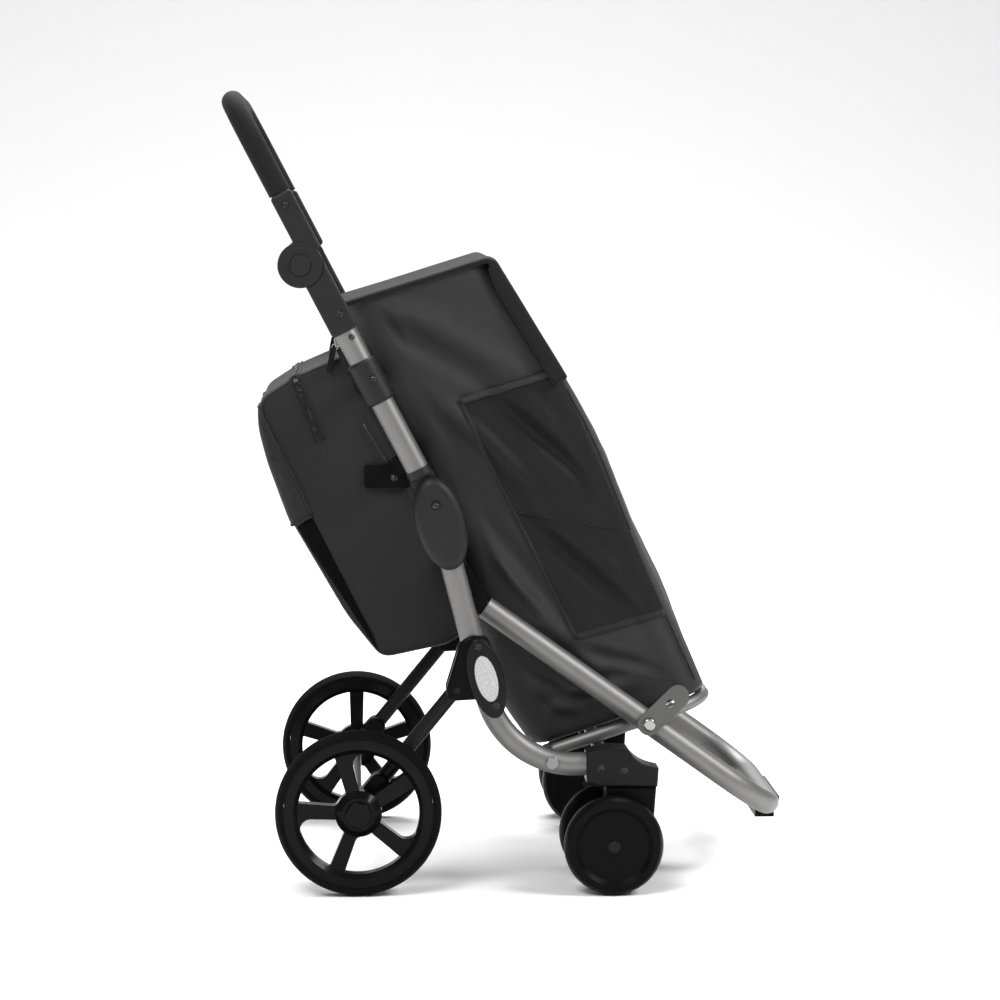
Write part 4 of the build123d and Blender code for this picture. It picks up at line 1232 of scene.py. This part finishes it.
def lid_path():
    """Side view points of the lid from its hinge to the foot of the flap, with their normals."""
    along = (LID_CORNER - LID_REAR).normalized()
    down = (LID_FOOT - LID_CORNER).normalized()
    up, out = Vector((-along.y, along.x)), Vector((-down.y, down.x))
    cut = LID_BEND * tan(along.angle(down) / 2)
    start, bend = LID_REAR - along * LID_BACK, LID_CORNER - along * cut
    path = [(start.lerp(bend, i / TOP_ROWS), up) for i in range(TOP_ROWS)]
    for i in range(BEND_ROWS + 1):
        n = (up * (1 - i / BEND_ROWS) + out * (i / BEND_ROWS)).normalized()
        path.append((bend - up * LID_BEND + n * LID_BEND, n))
    for i in range(1, FLAP_ROWS + 1):
        path.append(((LID_CORNER + down * cut).lerp(LID_FOOT, i / FLAP_ROWS), out))
    return [(p + n * LID_LIFT, n) for p, n in path]


class TROLLEY_OT_lid(bpy.types.Operator):
    """Makes the lid of the main bag: a soft top panel that turns down into a front flap with side bands"""

    bl_idname = "trolley.lid"
    bl_label = "Lid"

    def execute(self, context):
        path = lid_path()
        deep = bag_settings().lid_band / MM
        rows = []
        for i, (point, out) in enumerate(path):
            share = i / (len(path) - 1)
            band = LID_BAND + (deep - LID_BAND) * min(max((share - 0.5) / 0.16, 0.0), 1.0)
            row = [self.side(point, out, share, band, 1 - k / BAND_STEPS, 1) for k in range(BAND_STEPS)]
            row += [self.top(point, out, share, 1 - 2 * k / LID_ACROSS) for k in range(LID_ACROSS + 1)]
            row += [self.side(point, out, share, band, (k + 1) / BAND_STEPS, -1) for k in range(BAND_STEPS)]
            rows.append(row)
        # The lid wears the darker lid cloth: painted shade on its top and flap
        piece = new_piece(sheet_mesh("lid_cloth", rows, LID_CLOTH), "lid")
        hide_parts("bag_lid")
        on_bag(piece, "lid")
        self.trim(rows)
        return {"FINISHED"}

    def top(self, point, out, share, q):
        """A point of the top panel or the flap at a share of the half width."""
        width = q * (LID_HALF - LID_EDGE)
        wave = noise.noise(Vector((width * 0.014, point.x * 0.016, point.y * 0.016)))
        crown = -3.0 * (1 - q * q) * sin(pi * min(share * 1.8, 1.0)) + 1.3 * wave * (1 - q**8)
        return place(point + out * (crown - LID_EDGE * abs(q) ** 24), width)

    def side(self, point, out, share, band, q, sign):
        """A point of a side band at a share of its depth."""
        wave = noise.noise(Vector((share * 9.0, sign * 4.0, 2.0)))
        width = LID_HALF - LID_EDGE + LID_EDGE * min(1.0, 4 * q) + 0.9 * wave * q
        return place(point - out * (LID_EDGE + q * band), sign * width)

    def trim(self, rows):
        """Binding along the free edges of the lid, the hinge bead and three rows of stitches."""
        edge = [row[0] for row in rows] + rows[-1][1:-1] + [row[-1] for row in reversed(rows)]
        # The binding takes the darker zip tape finish: painted shade along the edges of the flap
        on_bag(new_piece(cord_mesh("lid_binding", edge, 1.3), "zip"), "lid")
        bead = rows[0][BAND_STEPS:-BAND_STEPS]
        on_bag(new_piece(cord_mesh("lid_hinge_bead", bead, 3.4), "tape"), "lid")
        middle = len(rows[0]) // 2
        paths = []
        for k in (2, -3):
            paths.append([row[k] + (row[k] - row[middle]).normalized() * 0.0003 for row in rows[3:]])
        paths.append([p + Vector((0.0006, 0, 0.0003)) for p in rows[-3][8:-8]])
        on_bag(stitches("lid_stitches", paths), "lid")


# Rear bag: outline by distances along the upper tubes and behind them, its rounding and its points
POUCH_OUTLINE = (
    (-164.0, 41.0), (-100.0, 15.0), (206.0, 11.0), (211.0, 80.0), (206.0, 131.0), (175.0, 147.0),
    (132.0, 157.0), (55.0, 167.0), (-78.0, 161.0), (-145.0, 148.0), (-168.0, 66.0),
)
POUCH_ROUND, POUCH_POINTS = 14.0, 220
# Half width, radius of the side edges, bulge of the sides, and the least distance to the tubes
POUCH_HALF, POUCH_EDGE, POUCH_CROWN, POUCH_FRONT = 144.0, 10.0, 4.0, 10.4
# Rings of a side as shares of the outline, of a rounded edge, and across the bag
POUCH_CAPS, POUCH_TURN, POUCH_ACROSS = (0.03, 0.2, 0.38, 0.55, 0.7, 0.82, 0.9), 9, 40


def closed_outline(stops, corner, count):
    """A closed outline with rounded corners through stops, as evenly spaced points."""
    points = []
    total = len(stops)
    for i in range(total):
        before, here, after = (Vector(stops[(i + k) % total]) for k in (-1, 0, 1))
        a, b = (before - here).normalized(), (after - here).normalized()
        cut = min(corner, (before - here).length * 0.45, (after - here).length * 0.45)
        for t in (k / 6 for k in range(7)):
            points.append((here + a * cut) * (1 - t) ** 2 + here * 2 * t * (1 - t) + (here + b * cut) * t * t)
    return spaced(points + points[:1], count + 1)[:-1]


def on_pouch(mesh, paint):
    """Makes a piece that rides with the rear bag."""
    piece = new_piece(mesh, paint)
    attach(piece, "upper_frame")
    return piece


class TROLLEY_OT_rear_bag(bpy.types.Operator):
    """Makes the padded rear bag with its crowned sides, and sews its piping"""

    bl_idname = "trolley.rear_bag"
    bl_label = "Rear bag"

    def execute(self, context):
        outline = closed_outline(POUCH_OUTLINE, POUCH_ROUND, POUCH_POINTS)
        centre = sum(outline, Vector((0, 0))) / len(outline)
        rings = self.side(outline, centre, 1.0)
        for i in range(1, POUCH_ACROSS):
            width = (POUCH_HALF - POUCH_EDGE) * (1 - 2 * i / POUCH_ACROSS)
            rings.append(self.ring(outline, centre, 1.0, width, 0.0))
        rings += reversed(self.side(outline, centre, -1.0))
        skin_of("pouch", rings)
        piece = new_piece(self.mesh(rings), "pouch")
        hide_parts("rear_bag")
        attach(piece, "upper_frame")
        halfway = len(POUCH_CAPS) + POUCH_TURN // 2
        for side, row in (("right", halfway), ("left", len(rings) - 1 - halfway)):
            on_pouch(cord_mesh(f"rear_bag_piping_{side}", rings[row] + rings[row][:1], 1.1), "tape")
        return {"FINISHED"}

    def side(self, outline, centre, cap):
        """Rings from the middle of a side to the end of its rounded edge."""
        rings = [self.ring(outline, centre, share, cap * POUCH_HALF, cap) for share in POUCH_CAPS]
        for a in (pi / 2 * i / (POUCH_TURN - 1) for i in range(POUCH_TURN)):
            width = cap * (POUCH_HALF - POUCH_EDGE * (1 - cos(a)))
            rings.append(self.ring(outline, centre, 1.0, width, cap, POUCH_EDGE * (1 - sin(a))))
        return rings

    def ring(self, outline, centre, share, width, cap, inset=0.0):
        """One ring at a width: on a side if cap is its sign, or else across the bag."""
        ring = []
        for n, p in enumerate(outline):
            run = outline[(n + 1) % len(outline)] - outline[n - 1]
            out = Vector((run.y, -run.x)).normalized()
            if (p - centre).dot(out) < 0:
                out = -out
            spot = centre + (p - centre) * share - out * inset
            wave = noise.noise(Vector((spot.x * 0.014, spot.y * 0.014, width * 0.014)))
            fine = noise.noise(Vector((spot.x * 0.05, spot.y * 0.05, width * 0.05)))
            bulge = 0.0
            if cap:
                bulge = POUCH_CROWN * (1 - share**2) + (1.3 * wave + 0.4 * fine) * (0.8 if share < 1 else 0.2)
            else:
                near = 1 - abs(width / POUCH_HALF) ** 3
                spot = spot + out * ((1.8 * wave + 0.5 * fine - 1.0) * near)
            ring.append(on_mast(spot.x, max(spot.y, POUCH_FRONT), width + cap * bulge))
        return ring

    def mesh(self, rings):
        """The closed body, with flat uvs on its sides and uvs along its girth between them."""
        count, last, caps = len(rings[0]), len(rings) - 1, len(POUCH_CAPS)
        points = flat(rings)
        run = running([ring[0] for ring in rings])
        middle = rings[len(rings) // 2]
        girth = running(middle + middle[:1])
        faces, uvs = [], []
        for square in squares(len(rings), count):
            faces.append([i * count + j % count for i, j in square])
            if caps <= square[0][0] < last - caps:
                uvs += [(run[i], girth[j]) for i, j in square]
            else:
                uvs += [(points[k].x, points[k].z) for k in faces[-1]]
        for row in (0, last):
            hub = len(points)
            points.append(sum(rings[row], Vector()) / count)
            for j in range(count):
                faces.append((hub, row * count + j, row * count + (j + 1) % count))
                uvs += [(points[k].x, points[k].z) for k in faces[-1]]
        return turned_out(mesh_from("rear_bag_body", points, faces, uvs))


# Trim of the rear bag: stops of the zip, and lines by distances along and behind the upper tubes
ZIP_STOPS = ((127.6, 89.5, 165.0), (204.0, 83.0, 165.0), (224.0, 81.0, 150.0))
PANEL_STRIP = ((200.0, 134.0), (177.0, 137.0), (92.0, 139.0), (55.0, 141.0), (51.0, 142.0))
PANEL_REAR = ((206.0, 131.0), (175.0, 147.0), (132.0, 157.0), (51.0, 167.5))
PANEL_ROWS, PANEL_HALF, PANEL_TURN, PANEL_OFF = 44, 40, 12, 7.0
# Corners and steps of the near-black patch on each side below the rear panel: painted shade laid on the bag, not
# a part of it
SHADE_PATCH = ((50.0, 141.5), (46.0, 164.0), (-138.0, 147.0), (-118.0, 144.5))
SHADE_PATCH_STEPS = (10, 36)
# Plates of the pulls as (name, start, end, half width, the widths of their faces, rounding, finish, slot)
PULLS = (
    ("zip_stem", (184.0, 18.0), (226.0, 15.0), 5.5, (146.6, 149.0), 0.6, "tape", "cloth"),
    ("zip_slider", (217.5, 17.0), (228.0, 14.0), 3.6, (149.2, 154.0), 1.2, "steel", "steel"),
    ("zip_tab", (219.0, 23.0), (195.0, 42.0), 3.6, (151.0, 153.4), 0.8, "satin_plastic", "black_plastic"),
    ("long_pull_end", (66.0, 30.3), (52.0, 27.0), 2.6, (149.0, 151.6), 0.8, "satin_plastic", "black_plastic"),
)


class TROLLEY_OT_rear_bag_trim(bpy.types.Operator):
    """Adds the zip, its pulls, the rear panel with its hem and near-black patches of painted shade to the rear
    bag
    """

    bl_idname = "trolley.rear_bag_trim"
    bl_label = "Rear bag trim"

    def execute(self, context):
        self.zip()
        self.panel()
        corners = [mast(*p) for p in SHADE_PATCH]
        for side, sign in SIDES:
            self.pulls(side, sign)
            # A near-black patch of painted shade on each side below the rear panel
            mesh = patch_mesh(f"rear_painted_shade_{side}", "pouch", corners, sign, 1.0, SHADE_PATCH_STEPS, 0.6)
            on_pouch(mesh, "painted_shade")
        return {"FINISHED"}

    def zip(self):
        """The zip from one side over the top to the other."""
        route = [on_mast(*stop) for stop in ZIP_STOPS]
        route += mirrored(route)
        on_pouch(band_mesh("zip_tape", "pouch", route, 16.0, 0.2, 0.8), "zip")
        for edge, shift in (("front", -7.0), ("rear", 7.0)):
            aside = Vector((MAST_BACK.x, 0, MAST_BACK.y)) * (shift * MM)
            spots, _ = cling_path("pouch", [p + aside for p in route], 1.3)
            on_pouch(cord_mesh(f"zip_fold_{edge}", spots, 0.9), "pouch")
        spots, normals = cling_path("pouch", route, 1.5)
        teeth = grow("zip_teeth", tooth_tree(), [spots], normals, {}, "dark_steel")
        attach(teeth, "upper_frame")

    def panel(self):
        """The upper rear panel, which wraps round the side edges and ends in a hem above the lower pocket."""
        rows = []
        reach = POUCH_EDGE + PANEL_OFF
        top, foot = PANEL_STRIP[0][0], PANEL_STRIP[-1][0]
        for i in range(PANEL_ROWS + 1):
            along = top - (top - foot) * i / PANEL_ROWS
            strip = through([(-a, b) for a, b in PANEL_STRIP], -along)
            core = through([(-a, b) for a, b in PANEL_REAR], -along) - POUCH_EDGE
            start = max((strip - core) / POUCH_EDGE, 0.0)
            half = [on_mast(along, strip, POUCH_HALF + PANEL_OFF)] if strip < core else []
            for a in (start + (pi / 2 - start) * k / PANEL_TURN for k in range(PANEL_TURN + 1)):
                half.append(on_mast(along, core + reach * sin(a), POUCH_HALF - POUCH_EDGE + reach * cos(a)))
            half = spaced(half + [on_mast(along, core + reach, 0.0)], PANEL_HALF)
            rows.append([cling("pouch", p, 2.6)[0] for p in half + mirrored(half[:-1])])
        piece = on_pouch(sheet_mesh("rear_panel", rows, 2.2), "pouch")
        border = [row[0] for row in reversed(rows)] + rows[0][1:-1] + [row[-1] for row in rows]
        on_pouch(cord_mesh("rear_panel_piping", border, 1.2), "tape")
        on_pouch(cord_mesh("rear_panel_hem", rows[-1], 1.9), "tape")
        seams = [[p.lerp(q, 0.9) for p, q in zip(rows[k], rows[k + 1])] for k in (PANEL_ROWS - 3, PANEL_ROWS - 2)]
        seams += [[row[k] for row in rows] for k in (2, -3)]
        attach(stitches("rear_panel_stitches", seams), "upper_frame")

    def pulls(self, side, sign):
        """Zip slider with its tab and ring on a stem of webbing, and the long pull beside the tube."""
        for name, start, end, half, faces, bevel, paint, slot in PULLS:
            low, high = (sign * face for face in faces)
            mesh = plate_mesh(f"{name}_{side}", bar_outline(start, end, half), low, high, bevel)
            on_pouch(mesh, paint)
        turns = [k * pi / 8 for k in range(17)]
        ring = [on_mast(219.5 + 3.4 * sin(a), 20.5 + 4.2 * cos(a), sign * 152.2) for a in turns]
        on_pouch(cord_mesh(f"zip_ring_{side}", ring, 0.8), "steel")
        wire = [on_mast(123.0 - 58.0 * t, 33.8 - 3.5 * t, sign * 150.0) for t in (k / 20 for k in range(21))]
        on_pouch(cord_mesh(f"long_pull_{side}", wire, 0.8), "dark_steel")


# Screw heads by body, and snap buttons, as (side view point, width of the face they sit on)
SCREWS = {
    "handle": (((-83.4, 825.2), 224.5),),
    "upper_frame": (((-19.2, 696.6), 224.5), ((19.5, 619.5), 226.0), ((44.9, 495.3), 153.3)),
    "chassis": (
        ((94.0, 468.0), 229.0), ((143.7, 299.0), 236.2), ((165.2, 227.6), 236.2),
        ((292.2, 149.8), 228.0), ((320.0, 145.9), 228.0),
    ),
}
SNAP_BUTTONS = (((-5.4, 669.2), 222.0),)
# Height of a head above its face, and a screw's height as a share of its radius
HEAD_LIFT, HEAD_HEIGHT = 0.2, 0.55


class TROLLEY_OT_fasteners(bpy.types.Operator):
    """Sets the screws and the snap buttons of the tubes"""

    bl_idname = "trolley.fasteners"
    bl_label = "Fasteners"

    def heads(self, name, tree, spots, values, body):
        """One piece of heads on both sides, which face outwards."""
        paths, facing = [], []
        for _, sign in SIDES:
            for point, width in spots:
                paths.append([place(point, sign * (width + HEAD_LIFT))])
                facing.append((0.0, -sign, 0.0))
        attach(grow(name, tree, paths, facing, values, "dark_steel"), body)

    def execute(self, context):
        radius = bag_settings().screw_radius
        size = {"Radius": radius, "Height": radius * HEAD_HEIGHT}
        for body, spots in SCREWS.items():
            self.heads(f"screws_{body}", screw_tree(), spots, size, body)
        self.heads("snap_buttons", button_tree(), SNAP_BUTTONS, {}, "upper_frame")
        return {"FINISHED"}


# Studio: reach of the floor, place and height of the wall, and the bend between them, in metres
FLOOR_REACH, WALL_Y, WALL_HEIGHT, WALL_BEND, WALL_STEPS = 9.0, 6.0, 7.0, 2.0, 12
WORLD_LIGHT = 0.3
# Lights as (name, place, share of the key power, size), all aimed at the middle of the trolley
LAMPS = (
    ("key_light", (-1.5, -2.5, 3.2), 1.3, 1.6),
    ("grazing_light", (2.6, -1.6, 2.8), 1.2, 1.2),
    ("backdrop_light", (0.0, 2.2, 4.2), 3.6, 3.0),
)
LAMP_AIM = Vector((0.0, 0.0, 0.45))
# Camera: place, turn to the right, tilt down, sensor width, and focal length in sensor widths
EYE, YAW, PITCH = (-0.19835, -3.965, 0.831), radians(2.81), radians(5.44)
SENSOR, FOCAL = 36.0, 3.15


class TROLLEY_OT_stage(bpy.types.Operator):
    """Sets the floor, the light and the camera at the photograph's angle"""

    bl_idname = "trolley.stage"
    bl_label = "Stage"

    def execute(self, context):
        settings = context.scene.trolley_stage
        self.floor(settings.floor_colour)
        self.lights(context, settings.key_power)
        self.camera(context)
        context.scene.view_settings.view_transform = "Standard"
        return {"FINISHED"}

    def floor(self, colour):
        profile = [(-FLOOR_REACH, 0.0)]
        for a in (pi / 2 * i / WALL_STEPS for i in range(WALL_STEPS + 1)):
            profile.append((WALL_Y - WALL_BEND + WALL_BEND * sin(a), WALL_BEND - WALL_BEND * cos(a)))
        profile.append((WALL_Y, WALL_HEIGHT))
        points = [(x, y, z) for y, z in profile for x in (-FLOOR_REACH, FLOOR_REACH)]
        faces = [(k, k + 1, k + 3, k + 2) for k in range(0, len(points) - 2, 2)]
        mesh = mesh_from("studio_floor", points, faces, [(0.0, 0.0)] * 4 * len(faces))
        paint = Paint("studio_paper")
        low, high = ((*(c * share for c in colour), 1.0) for share in (0.985, 1.0))
        mesh.materials.append(paint.finish((paint.grain(3.0, 2.0, 0.5), low, high), 0.8))
        link("studio_floor", mesh)

    def lights(self, context, power):
        world = bpy.data.worlds.new("studio_air")
        world.use_nodes = True
        background = world.node_tree.nodes["Background"]
        background.inputs[0].default_value = (1.0, 1.0, 1.0, 1.0)
        background.inputs[1].default_value = WORLD_LIGHT
        context.scene.world = world
        for name, spot, share, size in LAMPS:
            lamp = bpy.data.lights.new(name, "AREA")
            lamp.energy = power * share
            lamp.size = size
            lamp_object = link(name, lamp)
            lamp_object.location = spot
            aim = LAMP_AIM - Vector(spot)
            lamp_object.rotation_euler = aim.to_track_quat("-Z", "Y").to_euler()

    def camera(self, context):
        lens = bpy.data.cameras.new("photo_camera")
        lens.sensor_fit = "HORIZONTAL"
        lens.sensor_width = SENSOR
        lens.lens = SENSOR * FOCAL
        lens.clip_end = 60.0
        eye = link("photo_camera", lens)
        eye.location = EYE
        look = Vector((sin(YAW) * cos(PITCH), cos(YAW) * cos(PITCH), -sin(PITCH)))
        eye.rotation_euler = look.to_track_quat("-Z", "Y").to_euler()
        context.scene.camera = eye


STEPS = (
    TROLLEY_OT_finishes,
    TROLLEY_OT_main_bag,
    TROLLEY_OT_side_pockets,
    TROLLEY_OT_bag_seams,
    TROLLEY_OT_lid,
    TROLLEY_OT_rear_bag,
    TROLLEY_OT_rear_bag_trim,
    TROLLEY_OT_fasteners,
    TROLLEY_OT_stage,
)


class TROLLEY_PT_panel(bpy.types.Panel):
    """Lists the steps that dress the trolley"""

    bl_idname = "TROLLEY_PT_panel"
    bl_label = "Trolley"
    bl_space_type = "VIEW_3D"
    bl_region_type = "UI"
    bl_category = "Trolley"

    def draw(self, context):
        column = self.layout.column(align=True)
        for step in STEPS:
            column.operator(step.bl_idname)


CLASSES = (TrolleyBagSettings, TrolleyStageSettings, *STEPS, TROLLEY_PT_panel)


def register():
    for kind in CLASSES:
        bpy.utils.register_class(kind)
    bpy.types.Scene.trolley_bag = bpy.props.PointerProperty(type=TrolleyBagSettings)
    bpy.types.Scene.trolley_stage = bpy.props.PointerProperty(type=TrolleyStageSettings)


def unregister():
    del bpy.types.Scene.trolley_stage
    del bpy.types.Scene.trolley_bag
    for kind in reversed(CLASSES):
        bpy.utils.unregister_class(kind)


def main():
    register()
    for step in STEPS:
        group, name = step.bl_idname.split(".")
        getattr(getattr(bpy.ops, group), name)()


if __name__ == "__main__":
    main()
